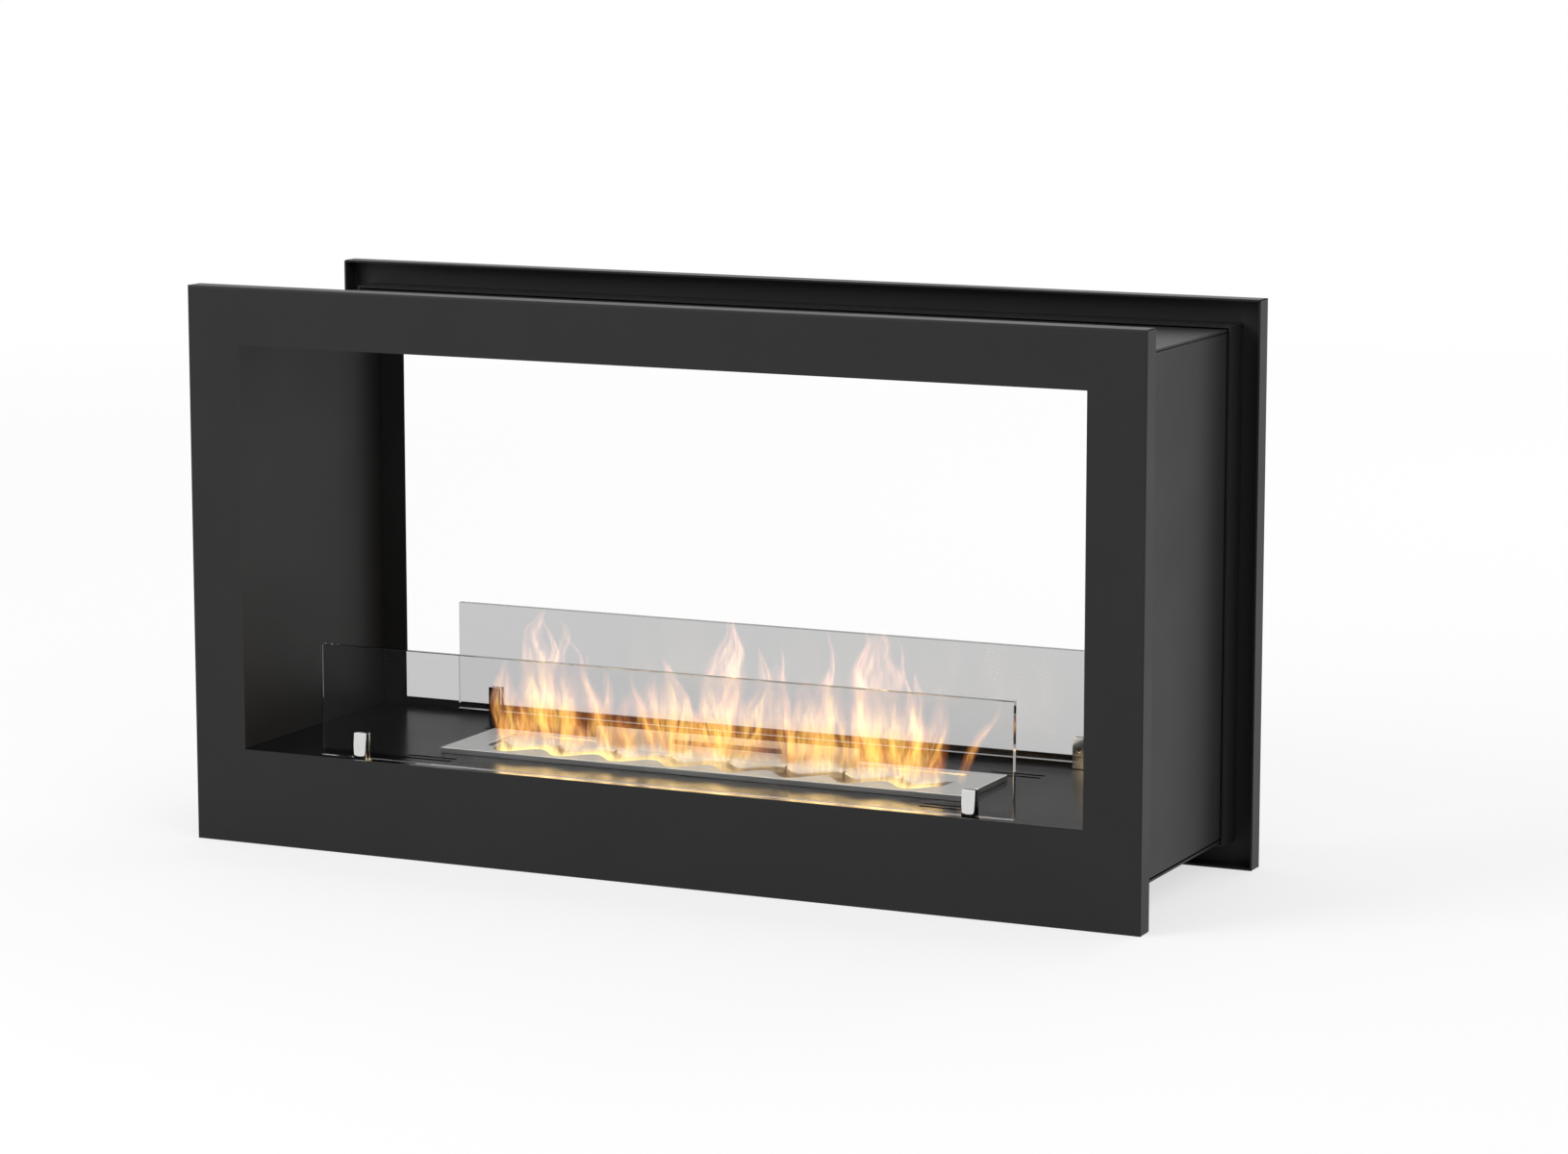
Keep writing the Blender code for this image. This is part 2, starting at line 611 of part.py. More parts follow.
def clip_mesh():
    """Make a clip: a round-nosed block with a slot for the glass and a slanted flat on its nose."""
    half = CLIP_WIDTH / 2
    nose_y = -CLIP_SLOT_HALF - CLIP_OUTER_WALL
    inner_y = CLIP_SLOT_HALF + CLIP_INNER_WALL
    nose = []
    for i in range(CLIP_NOSE_STEPS + 1):
        angle = math.pi * i / CLIP_NOSE_STEPS
        nose.append((-half * math.cos(angle), nose_y + CLIP_NOSE * (1 - math.sin(angle))))
    block = prism("clip_block", nose + [(half, inner_y), (-half, inner_y)], 0, CLIP_HEIGHT)

    over = half + CUT_OVERRUN
    slot = prism("clip_slot", centred(over, CLIP_SLOT_HALF), CLIP_SLOT_FLOOR,
                 CLIP_HEIGHT + CUT_OVERRUN)
    slotted = boolean("clip_slotted", block, "DIFFERENCE", slot)

    slope = CLIP_SLANT_DEPTH / (CLIP_HEIGHT - CLIP_SLANT_START)
    low, high = CLIP_SLANT_START, CLIP_HEIGHT + CUT_OVERRUN
    front = nose_y - CUT_OVERRUN
    wedge = [(front, low - CUT_OVERRUN / slope), (nose_y + slope * (high - low), high), (front, high)]
    slanted = prism("clip_slant", wedge, -over, over)
    for vertex in slanted.vertices:
        y, z, x = vertex.co
        vertex.co = (x, y, z)
    flattened = boolean("clip_flattened", slotted, "DIFFERENCE", slanted)

    radius = CLAMP_SCREW_RADIUS + SCREW_CLEARANCE
    tapping = stood(prism("clip_tapping", polygon(radius), -inner_y - CUT_OVERRUN, 0))
    moved(tapping, (0, 0, CLAMP_SCREW_HEIGHT))
    tapped = boolean("clip_tapped", flattened, "DIFFERENCE", tapping)
    bore = prism("clip_bore", polygon(BOLT_RADIUS + SCREW_CLEARANCE), -CUT_OVERRUN,
                 BOLT_REACH + SCREW_CLEARANCE)
    return smooth(boolean("glass_clip", tapped, "DIFFERENCE", bore))


def clamp_screw_mesh():
    """Make a headless clamp screw along -z with a hexagon socket at its upper end."""
    tip = CLAMP_SCREW_RADIUS / 2
    rim = [
        (hexagon(CLAMP_SOCKET_RADIUS), -CLAMP_SOCKET_DEPTH),
        (hexagon(CLAMP_SOCKET_RADIUS), 0),
        (polygon(CLAMP_SCREW_RADIUS), 0),
        (polygon(CLAMP_SCREW_RADIUS), tip - CLAMP_SCREW_LENGTH),
        (polygon(tip), -CLAMP_SCREW_LENGTH),
    ]
    return smooth(solid("clamp_screw", rim))


def bolt_mesh():
    """Make a clip bolt: a low head under the hearth plate and a shank up into the clip."""
    shank = HEARTH_SHEET + 2 * SEAT_GAP + BOLT_REACH - SCREW_CLEARANCE
    rim = [
        (polygon(BOLT_RADIUS), shank),
        (polygon(BOLT_RADIUS), 0),
        (polygon(BOLT_HEAD_RADIUS), 0),
        (polygon(BOLT_HEAD_RADIUS), -BOLT_HEAD_HEIGHT),
        (hexagon(BOLT_SOCKET_RADIUS), -BOLT_HEAD_HEIGHT),
        (hexagon(BOLT_SOCKET_RADIUS), BOLT_SOCKET_DEPTH - BOLT_HEAD_HEIGHT),
    ]
    return smooth(solid("clip_bolt", rim))


def build_clips(polished, screw_steel):
    """Build the four glass clips with their clamp screws and bolts."""
    clip, screw, bolt = clip_mesh(), clamp_screw_mesh(), bolt_mesh()
    screw_end = GLASS_THICKNESS / 2 + SEAT_GAP + CLAMP_SCREW_LENGTH
    bolt_seat = HEARTH_TOP - HEARTH_SHEET - SEAT_GAP
    for depth_name, facing in (("front", 1), ("rear", -1)):
        for side_name, side in (("left", -1), ("right", 1)):
            corner = depth_name + "_" + side_name
            x, y = side * CLIP_X, -facing * GLASS_Y
            turned = (0, 0, 0 if facing == 1 else math.pi)
            place("glass_clip_" + corner, clip, polished, (x, y, CLIP_BASE), turned)
            screw_place = (x, y + facing * screw_end, CLIP_BASE + CLAMP_SCREW_HEIGHT)
            place("clamp_screw_" + corner, screw, screw_steel, screw_place,
                  (-facing * math.pi / 2, 0, 0))
            place("clip_bolt_" + corner, bolt, screw_steel, (x, y, bolt_seat))


def build_fireplace():
    """Build every piece of the fireplace."""
    clear_scene()
    powder = make_material("powder_coat_black", (0.035, 0.035, 0.036), 0.48, 0.0)
    hearth = make_material("satin_black_steel", (0.018, 0.018, 0.019), 0.28, 0.0)
    zinc = make_material("zinc_plated_steel", (0.42, 0.43, 0.44), 0.42, 1.0)
    steel = make_material("brushed_stainless", (0.56, 0.56, 0.55), 0.30, 1.0)
    wool = make_material("ceramic_fibre", (0.80, 0.77, 0.70), 0.95, 0.0)
    glass = make_material("toughened_glass", (0.90, 0.95, 0.93), 0.02, 0.0, 0.25)
    polished = make_material("polished_stainless", (0.70, 0.70, 0.69), 0.08, 1.0)
    screw_steel = make_material("dark_screw_steel", (0.20, 0.20, 0.20), 0.40, 1.0)

    build_faces(powder)
    build_sleeves(powder)
    build_casing(powder)
    build_hearth(hearth, zinc)
    lift = carrier("burner_lift", (0, 0, HEARTH_TOP))
    slide = carrier("lid_slide", (0, LID_FRONT_Y, LID_BASE), lift)
    build_burner(steel, wool, lift)
    build_lid(steel, slide)
    build_glass(glass)
    build_clips(polished, screw_steel)


build_fireplace()
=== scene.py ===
"""Dresses the built-in double-sided fireplace: finishes, wavy sheets, glass, wool, fire and studio.

Metres, +Z up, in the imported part's own frame: +X to the right seen from the front, +Y to the rear.
"""

from __future__ import annotations

import json
import logging
import math
from dataclasses import dataclass
from enum import Enum

import bmesh
import bpy
import numpy as np
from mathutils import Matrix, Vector


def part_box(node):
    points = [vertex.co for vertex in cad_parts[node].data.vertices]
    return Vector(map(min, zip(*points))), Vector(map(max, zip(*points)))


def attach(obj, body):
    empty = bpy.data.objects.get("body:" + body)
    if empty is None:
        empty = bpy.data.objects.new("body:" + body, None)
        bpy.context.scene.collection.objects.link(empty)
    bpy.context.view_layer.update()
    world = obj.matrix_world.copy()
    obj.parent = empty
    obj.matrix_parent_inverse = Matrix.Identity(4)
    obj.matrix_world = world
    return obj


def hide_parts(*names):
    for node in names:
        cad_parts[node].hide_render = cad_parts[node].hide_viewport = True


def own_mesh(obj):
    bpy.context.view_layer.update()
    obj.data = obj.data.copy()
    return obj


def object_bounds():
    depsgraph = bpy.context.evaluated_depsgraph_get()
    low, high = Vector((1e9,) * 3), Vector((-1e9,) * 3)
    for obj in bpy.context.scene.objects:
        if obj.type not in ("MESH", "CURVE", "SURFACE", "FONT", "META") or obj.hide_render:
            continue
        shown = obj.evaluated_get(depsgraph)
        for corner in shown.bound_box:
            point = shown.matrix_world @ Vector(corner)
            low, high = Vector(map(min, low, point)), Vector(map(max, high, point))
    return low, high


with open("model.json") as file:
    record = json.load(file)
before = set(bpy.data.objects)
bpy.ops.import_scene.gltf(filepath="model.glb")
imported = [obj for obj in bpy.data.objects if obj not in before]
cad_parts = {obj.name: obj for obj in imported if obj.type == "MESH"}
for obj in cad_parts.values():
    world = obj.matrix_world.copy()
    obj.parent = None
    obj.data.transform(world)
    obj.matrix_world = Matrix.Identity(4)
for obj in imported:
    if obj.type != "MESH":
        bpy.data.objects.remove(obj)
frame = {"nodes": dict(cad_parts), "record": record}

Array = np.ndarray
Colour = tuple[float, float, float, float]
Material = bpy.types.Material
Mesh = bpy.types.Mesh
Piece = bpy.types.Object
Socket = bpy.types.NodeSocket

CAD_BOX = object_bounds()
LOG = logging.getLogger("fireplace")
MM = 0.001
SHARP_ANGLE = math.radians(35)
FLAT_ANGLE = math.radians(1)
WELD = 1e-7
COPY_WELD = 1e-6
WHITE = (1.0, 1.0, 1.0, 1.0)
BLACK = (0.0, 0.0, 0.0, 1.0)


class Body(Enum):
    """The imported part's bodies."""

    HOUSING = "housing"
    BURNER = "burner"
    SLIDER = "slider"


class Slot(Enum):
    """The record's material slots."""

    POWDER_COAT = "powder_coat"
    HEARTH_COAT = "hearth_coat"
    ZINC_STEEL = "zinc_steel"
    BRUSHED_STAINLESS = "brushed_stainless"
    POLISHED_STAINLESS = "polished_stainless"
    SCREW_STEEL = "screw_steel"
    TOUGHENED_GLASS = "toughened_glass"
    CERAMIC_WOOL = "ceramic_wool"


# Colours and nodes


def linear(hex_colour: str) -> Colour:
    """Turn an sRGB hex colour to linear light.

    Args:
        hex_colour: Six hex digits after a hash sign.

    Returns:
        Linear red, green and blue, and an alpha of 1.
    """
    values = [int(hex_colour[i:i + 2], 16) / 255 for i in (1, 3, 5)]
    red, green, blue = [
        v / 12.92 if v <= 0.04045 else ((v + 0.055) / 1.055) ** 2.4 for v in values
    ]
    return red, green, blue, 1.0


def scale_for(size_mm: float) -> float:
    """Return the pattern scale whose features are about this many millimetres wide."""
    return 1 / (size_mm * MM)


class Nodes:
    """A material's or a world's node tree, with a short call for each kind of node in use."""

    def __init__(self, owner: Material | bpy.types.World) -> None:
        """Start a node tree afresh.

        Args:
            owner: The material or world that it belongs to.
        """
        owner.use_nodes = True
        self.tree = owner.node_tree
        self.tree.nodes.clear()

    def add(self, kind: str, inputs: dict[str | int, object] | None = None,
            **settings: object) -> bpy.types.Node:
        """Add a node with its settings, its input values and its links.

        Args:
            kind: The node's type name in Blender, after "ShaderNode".
            inputs: For each input, by name or number, a value or the output socket that feeds it.
            settings: Values of the node's own properties.

        Returns:
            The new node.
        """
        node = self.tree.nodes.new("ShaderNode" + kind)
        for name, value in settings.items():
            setattr(node, name, value)
        for key, value in (inputs or {}).items():
            if isinstance(value, Socket):
                self.tree.links.new(value, node.inputs[key])
            else:
                node.inputs[key].default_value = value
        return node

    def place(self) -> Socket:
        """Return the place in the object's own coordinates, in metres."""
        return self.add("TexCoord").outputs["Object"]

    def path(self) -> bpy.types.bpy_prop_collection:
        """Return the outputs that tell what kind of ray has met the surface."""
        return self.add("LightPath").outputs

    def math(self, operation: str, *values: object) -> Socket:
        """Reckon with numbers.

        Args:
            operation: The operation's name in Blender.
            values: The numbers or sockets that it works on.

        Returns:
            The result's socket.
        """
        return self.add("Math", dict(enumerate(values)), operation=operation).outputs["Value"]

    def blend(self, share: Socket, low: str | Socket | Colour,
              high: str | Socket | Colour) -> Socket:
        """Blend two colours by a share from 0 to 1.

        Args:
            share: The share of the high colour.
            low: The colour at a share of 0, as hex digits, linear values or a socket.
            high: The colour at a share of 1, likewise.

        Returns:
            The blended colour's socket.
        """
        low, high = [linear(end) if isinstance(end, str) else end for end in (low, high)]
        return self.add("Mix", {0: share, 6: low, 7: high}, data_type="RGBA").outputs[2]

    def ranged(self, value: Socket, source: tuple[float, float],
               target: tuple[object, object] = (0.0, 1.0)) -> Socket:
        """Map a value from one range to another and hold it at the ends.

        Args:
            value: The value to map.
            source: The range that it comes in.
            target: The range that it leaves in, as numbers or sockets.

        Returns:
            The mapped value's socket.
        """
        return self.add("MapRange", {
            "Value": value, "From Min": source[0], "From Max": source[1],
            "To Min": target[0], "To Max": target[1],
        }).outputs["Result"]

    def ramp(self, value: Socket, stops: tuple[tuple[float, str], ...]) -> Socket:
        """Run through a row of colours as a value grows.

        Args:
            value: The value to follow, from 0 to 1.
            stops: Each colour's place and its hex digits; the first is at 0 and the last at 1.

        Returns:
            The colour's socket.
        """
        node = self.add("ValToRGB", {"Fac": value})
        elements = node.color_ramp.elements
        for place, _ in stops[1:-1]:
            elements.new(place)
        for element, (_, colour) in zip(elements, stops):
            element.color = linear(colour)
        return node.outputs["Color"]

    def bump(self, height: Socket, height_mm: float) -> Socket:
        """Return a normal that is tilted by a relief of this height."""
        return self.add("Bump", {"Height": height, "Distance": height_mm * MM}).outputs["Normal"]

    def principled(self, inputs: dict[str, object]) -> Socket:
        """Return the all-round shader with these inputs."""
        return self.add("BsdfPrincipled", inputs).outputs["BSDF"]

    def mixed(self, share: Socket, low: Socket, high: Socket) -> Socket:
        """Return a mix of two shaders by the share of the high one."""
        return self.add("MixShader", {0: share, 1: low, 2: high}).outputs["Shader"]


# Finishes


@dataclass(frozen=True)
class Finish:
    """A finish: a named material whose nodes each kind of finish lays out in its own way."""

    name: str

    def build(self) -> Material:
        """Build the material.

        Returns:
            The material.
        """
        material = bpy.data.materials.new(self.name)
        nodes = Nodes(material)
        nodes.add("OutputMaterial", {"Surface": self.shader(nodes)})
        return material

    def shader(self, nodes: Nodes) -> Socket:
        """Lay out the nodes.

        Args:
            nodes: The material's nodes.

        Returns:
            The last shader's socket.
        """
        raise NotImplementedError


@dataclass(frozen=True)
class Noise:
    """Fractal noise that stays put on the object.

    Its features are about size_mm wide, or as wide along x, y and z as three sizes say. Detail is
    how many finer layers it has, roughness how strong each is, and distortion how far it swirls.
    """

    size_mm: float | tuple[float, float, float]
    detail: float
    roughness: float = 0.5
    distortion: float = 0.0

    def lay(self, nodes: Nodes) -> Socket:
        """Add the noise.

        Args:
            nodes: The material's nodes.

        Returns:
            The socket of the noise, from 0 to 1.
        """
        place, scale = nodes.place(), 1.0
        if isinstance(self.size_mm, tuple):
            scales = [scale_for(size) for size in self.size_mm]
            place = nodes.add("Mapping", {"Vector": place, "Scale": scales}).outputs["Vector"]
        else:
            scale = scale_for(self.size_mm)
        return nodes.add("TexNoise", {
            "Vector": place, "Scale": scale, "Detail": self.detail, "Roughness": self.roughness,
            "Distortion": self.distortion,
        }).outputs["Fac"]


@dataclass(frozen=True)
class Crystals:
    """A patchwork of crystals about size_mm wide, each with a tone of its own from 0 to 1."""

    size_mm: float
    channel: str

    def lay(self, nodes: Nodes) -> Socket:
        """Add the crystals.

        Args:
            nodes: The material's nodes.

        Returns:
            The socket of their tone.
        """
        cells = nodes.add("TexVoronoi", {"Vector": nodes.place(), "Scale": scale_for(self.size_mm)})
        tones = nodes.add("SeparateColor", {"Color": cells.outputs["Color"]})
        return tones.outputs[self.channel]


@dataclass(frozen=True)
class Opaque(Finish):
    """A finish that nothing shows through.

    Its colour runs from one to another along a pattern. Its roughness runs between two ends as the
    sum of the gloss patterns runs through its range, or keeps the first end if there are none. Its
    relief follows a pattern too. The other inputs of its shader are given by name.
    """

    colours: tuple[str, str]
    tone: Noise | Crystals
    roughness: tuple[float, float]
    gloss: tuple[Noise | Crystals, ...] = ()
    gloss_range: tuple[float, float] = (0.0, 1.0)
    relief: Noise | None = None
    relief_mm: float = 0.0
    others: tuple[tuple[str, float], ...] = ()

    def shader(self, nodes: Nodes) -> Socket:
        """Lay out the nodes.

        Args:
            nodes: The material's nodes.

        Returns:
            The last shader's socket.
        """
        inputs = dict(self.others)
        inputs["Base Color"] = nodes.blend(self.tone.lay(nodes), *self.colours)
        inputs["Roughness"] = self.roughness[0]
        if self.gloss:
            gloss = self.gloss[0].lay(nodes)
            for pattern in self.gloss[1:]:
                gloss = nodes.math("ADD", gloss, pattern.lay(nodes))
            inputs["Roughness"] = nodes.ranged(gloss, self.gloss_range, self.roughness)
        if self.relief:
            inputs["Normal"] = nodes.bump(self.relief.lay(nodes), self.relief_mm)
        return nodes.principled(inputs)


@dataclass(frozen=True)
class GreyGlass(Finish):
    """Toughened float glass with a light grey tint that shades whatever is seen through it.

    Its polished faces are clear, and a faint smear of handling hardly dulls the gloss. Looked into
    from above, along the sheet, the tint adds up to a thin dark line. A pane that is seen through
    another one shades the view much less than the first. Light from lamps passes straight
    through, with the same tint, and so does what is seen through the ground side edges.
    """

    colour: str
    second_colour: str
    edge_colour: str
    ior: float
    shine: float
    smear_roughness: float
    smear: Noise = Noise(60.0, detail=4.0)
    smear_range: tuple[float, float] = (0.45, 0.75)
    second_depth: tuple[float, float] = (1.0, 2.0)
    edge_turn: tuple[float, float] = (0.4, 0.9)

    def shader(self, nodes: Nodes) -> Socket:
        """Lay out the nodes.

        Args:
            nodes: The material's nodes.

        Returns:
            The last shader's socket.
        """
        normal = nodes.add("NewGeometry").outputs["Normal"]
        facing = nodes.add("SeparateXYZ", {"Vector": normal}).outputs
        path = nodes.path()
        second = nodes.ranged(path["Transmission Depth"], self.second_depth)
        pane = nodes.blend(second, self.colour, self.second_colour)
        upward = nodes.ranged(facing["Z"], self.edge_turn)
        glass = nodes.principled({
            "Base Color": nodes.blend(upward, pane, self.edge_colour),
            "Roughness": nodes.ranged(self.smear.lay(nodes), self.smear_range,
                                      (0.0, self.smear_roughness)),
            "IOR": self.ior,
            "Specular Tint": (self.shine, self.shine, self.shine, 1.0),
            "Transmission Weight": 1.0,
        })
        once = tuple(math.sqrt(v) for v in linear(self.colour))
        clear = nodes.add("BsdfTransparent", {"Color": once}).outputs["BSDF"]
        lamp_light = nodes.math("MAXIMUM", path["Is Shadow Ray"], path["Is Diffuse Ray"])
        sideways = nodes.ranged(nodes.math("ABSOLUTE", facing["X"]), self.edge_turn)
        return nodes.mixed(nodes.math("MAXIMUM", lamp_light, sideways), glass, clear)


@dataclass(frozen=True)
class FlameGas(Finish):
    """Burning alcohol vapour: thin, see-through and light-giving.

    Its light comes on top of what shows through it, so a flame looks cream against a pale ground
    and orange against a dark one. It is brightest and cream at its root, orange above that, and
    pales and dims as it rises; its core is yellower than its edges. The glow attribute says how
    much gas burns at each place, and long upright streaks break it up. Each flame is crossed
    twice, at its front and at its back. To lamps and reflections it is far thinner than to the
    eye, and what it casts on the paint and the clips round it is stronger and paler, because a
    photograph cuts off a fire's brightness. Close by, on the burner itself, the cast is held back,
    so that the steel keeps its own grey.
    """

    edge_stops: tuple[tuple[float, str], ...]
    core_stops: tuple[tuple[float, str], ...]
    cast_colour: str
    opacity: float
    cast_opacity: float
    strength: float
    near_cast: float
    far_cast: float
    streaks: Noise = Noise((5.0, 5.0, 30.0), detail=3.0, roughness=0.55, distortion=1.2)
    streak_range: tuple[float, float] = (0.3, 0.7)
    streak_share: tuple[float, float] = (0.45, 1.45)
    core_range: tuple[float, float] = (0.15, 0.6)
    stops_z: tuple[float, float] = (0.095, 0.170)
    cast_reach: tuple[float, float] = (0.062, 0.078)
    full_glow: float = 1.5

    def shader(self, nodes: Nodes) -> Socket:
        """Lay out the nodes.

        Args:
            nodes: The material's nodes.

        Returns:
            The last shader's socket.
        """
        height = nodes.add("SeparateXYZ", {"Vector": nodes.place()}).outputs["Z"]
        rise = nodes.ranged(height, self.stops_z)
        glow = nodes.add("Attribute", attribute_name="glow").outputs["Fac"]
        streaked = nodes.ranged(self.streaks.lay(nodes), self.streak_range, self.streak_share)
        burning = nodes.math("MULTIPLY", glow, streaked)
        edge, core = nodes.ramp(rise, self.edge_stops), nodes.ramp(rise, self.core_stops)
        colour = nodes.blend(nodes.ranged(burning, self.core_range), edge, core)
        path = nodes.path()
        mirrored = nodes.math("SUBTRACT", path["Is Glossy Ray"], path["Is Transmission Ray"])
        cast = nodes.math("MAXIMUM", mirrored, path["Is Diffuse Ray"])
        thrown = nodes.ranged(path["Ray Length"], self.cast_reach, (self.near_cast, self.far_cast))
        unseen = nodes.math("MAXIMUM", cast, path["Is Shadow Ray"])
        full = nodes.ranged(unseen, (0.0, 1.0), (self.opacity, self.cast_opacity))
        return nodes.principled({
            "Base Color": BLACK,
            "Roughness": 1.0,
            "Specular IOR Level": 0.0,
            "Alpha": nodes.ranged(burning, (0.0, self.full_glow), (0.0, full)),
            "Emission Color": nodes.blend(cast, colour, self.cast_colour),
            "Emission Strength": nodes.ranged(cast, (0.0, 1.0), (self.strength, thrown)),
        })


@dataclass(frozen=True)
class WhiteFloor(Finish):
    """Matt white paper that shows as plain white and keeps a soft shadow near the object."""

    shadow_share: float
    reach: tuple[float, float]

    def shader(self, nodes: Nodes) -> Socket:
        """Lay out the nodes.

        Args:
            nodes: The material's nodes.

        Returns:
            The last shader's socket.
        """
        away = nodes.add("VectorMath", {0: nodes.place()}, operation="LENGTH").outputs["Value"]
        share = nodes.ranged(away, self.reach, (self.shadow_share, 0.0))
        paper = nodes.add("BsdfDiffuse", {"Color": WHITE}).outputs["BSDF"]
        white = nodes.add("Emission", {"Color": WHITE}).outputs["Emission"]
        seen = nodes.mixed(share, white, paper)
        return nodes.mixed(nodes.path()["Is Diffuse Ray"], seen, paper)


METAL = (("Metallic", 1.0),)
PATCHES = Noise(90.0, detail=3.0, roughness=0.55)
STREAKS = Noise((60.0, 0.7, 0.7), detail=3.0, roughness=0.6)
HAZE = Noise(9.0, detail=4.0, roughness=0.6)
SCREW_HAZE = Noise(3.0, detail=4.0, roughness=0.6)
FINISHES = {
    # A baked coat is a deep, even colour that gleams more the flatter it is looked along. A fine
    # orange peel breaks the reflections up, and faint broad patches vary the gloss.
    Slot.POWDER_COAT: Opaque(
        "powder_coated_steel", ("#232323", "#272727"), PATCHES, (0.39, 0.45), (PATCHES,), (0.3, 0.7),
        relief=Noise(1.1, detail=2.0, roughness=0.45), relief_mm=0.012,
        others=(("Specular IOR Level", 0.14),)),
    # The hearth's paint is the same but wetter and darker, so the fire shows in it.
    Slot.HEARTH_COAT: Opaque(
        "gloss_heatproof_painted_steel", ("#101010", "#161616"), PATCHES, (0.19, 0.25), (PATCHES,),
        (0.3, 0.7), relief=Noise(2.2, detail=2.0, roughness=0.45), relief_mm=0.003,
        others=(("Specular IOR Level", 0.03),)),
    # Zinc is a dull grey metal whose crystals show as a patchwork of tones.
    Slot.ZINC_STEEL: Opaque(
        "zinc_plated_steel", ("#c3c6c8", "#9ea1a3"), Crystals(7.0, "Red"), (0.35, 0.5),
        (Crystals(7.0, "Green"),), others=METAL),
    # Brushing along X draws thin streaks that spread each reflection across them. They are a few
    # times wider than real ones, because those would be too fine to show.
    Slot.BRUSHED_STAINLESS: Opaque(
        "brushed_stainless_steel", ("#dededc", "#cacac8"), STREAKS, (0.3, 0.38),
        (Noise(45.0, detail=2.0), STREAKS), (0.75, 1.25), relief=STREAKS, relief_mm=0.003,
        others=METAL),
    # Polish leaves a near mirror, dulled in places by the haze of handling.
    Slot.POLISHED_STAINLESS: Opaque(
        "polished_stainless_steel", ("#dadad8", "#cbcbc9"), HAZE, (0.05, 0.12), (HAZE,), (0.35, 0.7),
        others=METAL),
    Slot.SCREW_STEEL: Opaque(
        "blackened_screw_steel", ("#4a4a4a", "#3a3a3a"), SCREW_HAZE, (0.35, 0.45), (SCREW_HAZE,),
        (0.35, 0.7), others=METAL),
    Slot.TOUGHENED_GLASS: GreyGlass(
        "grey_toughened_glass", "#c8c8c8", "#f6f6f6", "#4c4e4e", ior=1.5, shine=0.05,
        smear_roughness=0.01),
    # Needled wool is off-white matted fibres, a little scorched where the fire starts.
    Slot.CERAMIC_WOOL: Opaque(
        "needled_ceramic_wool", ("#ece6da", "#b9a68c"), Noise(14.0, detail=4.0, roughness=0.6),
        (0.95, 0.95), relief=Noise(0.8, detail=2.0, distortion=1.5), relief_mm=0.5,
        others=(("Sheen Weight", 0.3),)),
}
FLAME = FlameGas(
    "burning_alcohol_vapour",
    ((0.0, "#ffd0a0"), (0.15, "#dd7f44"), (0.45, "#dd7f44"), (0.65, "#ffb898"), (1.0, "#c49486")),
    ((0.0, "#ffee9c"), (0.15, "#fbc061"), (0.45, "#fbc061"), (0.65, "#ffd69a"), (1.0, "#c4a680")),
    "#ffd690", opacity=0.33, cast_opacity=0.165, strength=5.5, near_cast=4.5, far_cast=60.0)
FLOOR = WhiteFloor("matt_white_paper", shadow_share=0.35, reach=(1.2, 5.0))


# Meshes


def closed_mesh(name: str, points: Array, faces: list[list[int]]) -> Mesh:
    """Make a mesh whose doubles are merged and whose normals point outward.

    Args:
        name: The mesh's name.
        points: The vertices, in an array whose last axis is x, y and z.
        faces: Each face's vertex numbers.

    Returns:
        The mesh, smooth but for its sharp edges.
    """
    mesh = bpy.data.meshes.new(name)
    mesh.from_pydata(points.reshape(-1, 3).tolist(), [], faces)
    bm = bmesh.new()
    bm.from_mesh(mesh)
    bmesh.ops.remove_doubles(bm, verts=bm.verts, dist=WELD)
    bmesh.ops.dissolve_degenerate(bm, edges=bm.edges, dist=WELD)
    bmesh.ops.recalc_face_normals(bm, faces=bm.faces)
    bm.to_mesh(mesh)
    bm.free()
    mesh.shade_smooth()
    mesh.set_sharp_from_angle(angle=SHARP_ANGLE)
    return mesh


def merged_copy(node: str, name: str) -> Mesh:
    """Copy a node's mesh with its doubles merged and its flats made whole.

    Args:
        node: The node.
        name: The copy's name.

    Returns:
        The copy, smooth but for its sharp edges.
    """
    bm = bmesh.new()
    bm.from_mesh(frame["nodes"][node].data)
    bmesh.ops.remove_doubles(bm, verts=bm.verts, dist=COPY_WELD)
    bmesh.ops.dissolve_limit(bm, angle_limit=FLAT_ANGLE, verts=bm.verts, edges=bm.edges)
    mesh = bpy.data.meshes.new(name)
    bm.to_mesh(mesh)
    bm.free()
    mesh.shade_smooth()
    return mesh


def loop_quads(rows: int, columns: int, closed_rows: bool) -> Array:
    """Number the quads of a grid whose columns run round in a loop.

    Quad (i, j) joins points (i, j), (i, j + 1), (i + 1, j + 1) and (i + 1, j), with j counted
    round the loop, and i too where the rows are closed.

    Args:
        rows: How many loops there are.
        columns: How many points a loop has.
        closed_rows: Whether the last loop joins the first.

    Returns:
        The quads, as rows by columns by 4.
    """
    i, j = np.meshgrid(np.arange(rows if closed_rows else rows - 1), np.arange(columns),
                       indexing="ij")
    next_i, next_j = (i + 1) % rows, (j + 1) % columns
    corners = [(i, j), (i, next_j), (next_i, next_j), (next_i, j)]
    return np.stack([a * columns + b for a, b in corners], axis=-1)


def square_outline(turn: Array) -> tuple[Array, Array]:
    """Return x and y on the outline from (-1, -1) to (1, 1), with a side for each 1 of the turn."""
    corners = np.arange(5)
    return np.interp(turn, corners, (-1, 1, 1, -1, -1)), np.interp(turn, corners, (-1, -1, 1, 1, -1))


def quarter_turn(steps: int) -> tuple[Array, Array]:
    """Return the sines and the cosines of even steps from nothing to a quarter turn."""
    angles = np.linspace(0, math.pi / 2, steps + 1)
    return np.sin(angles), np.cos(angles)


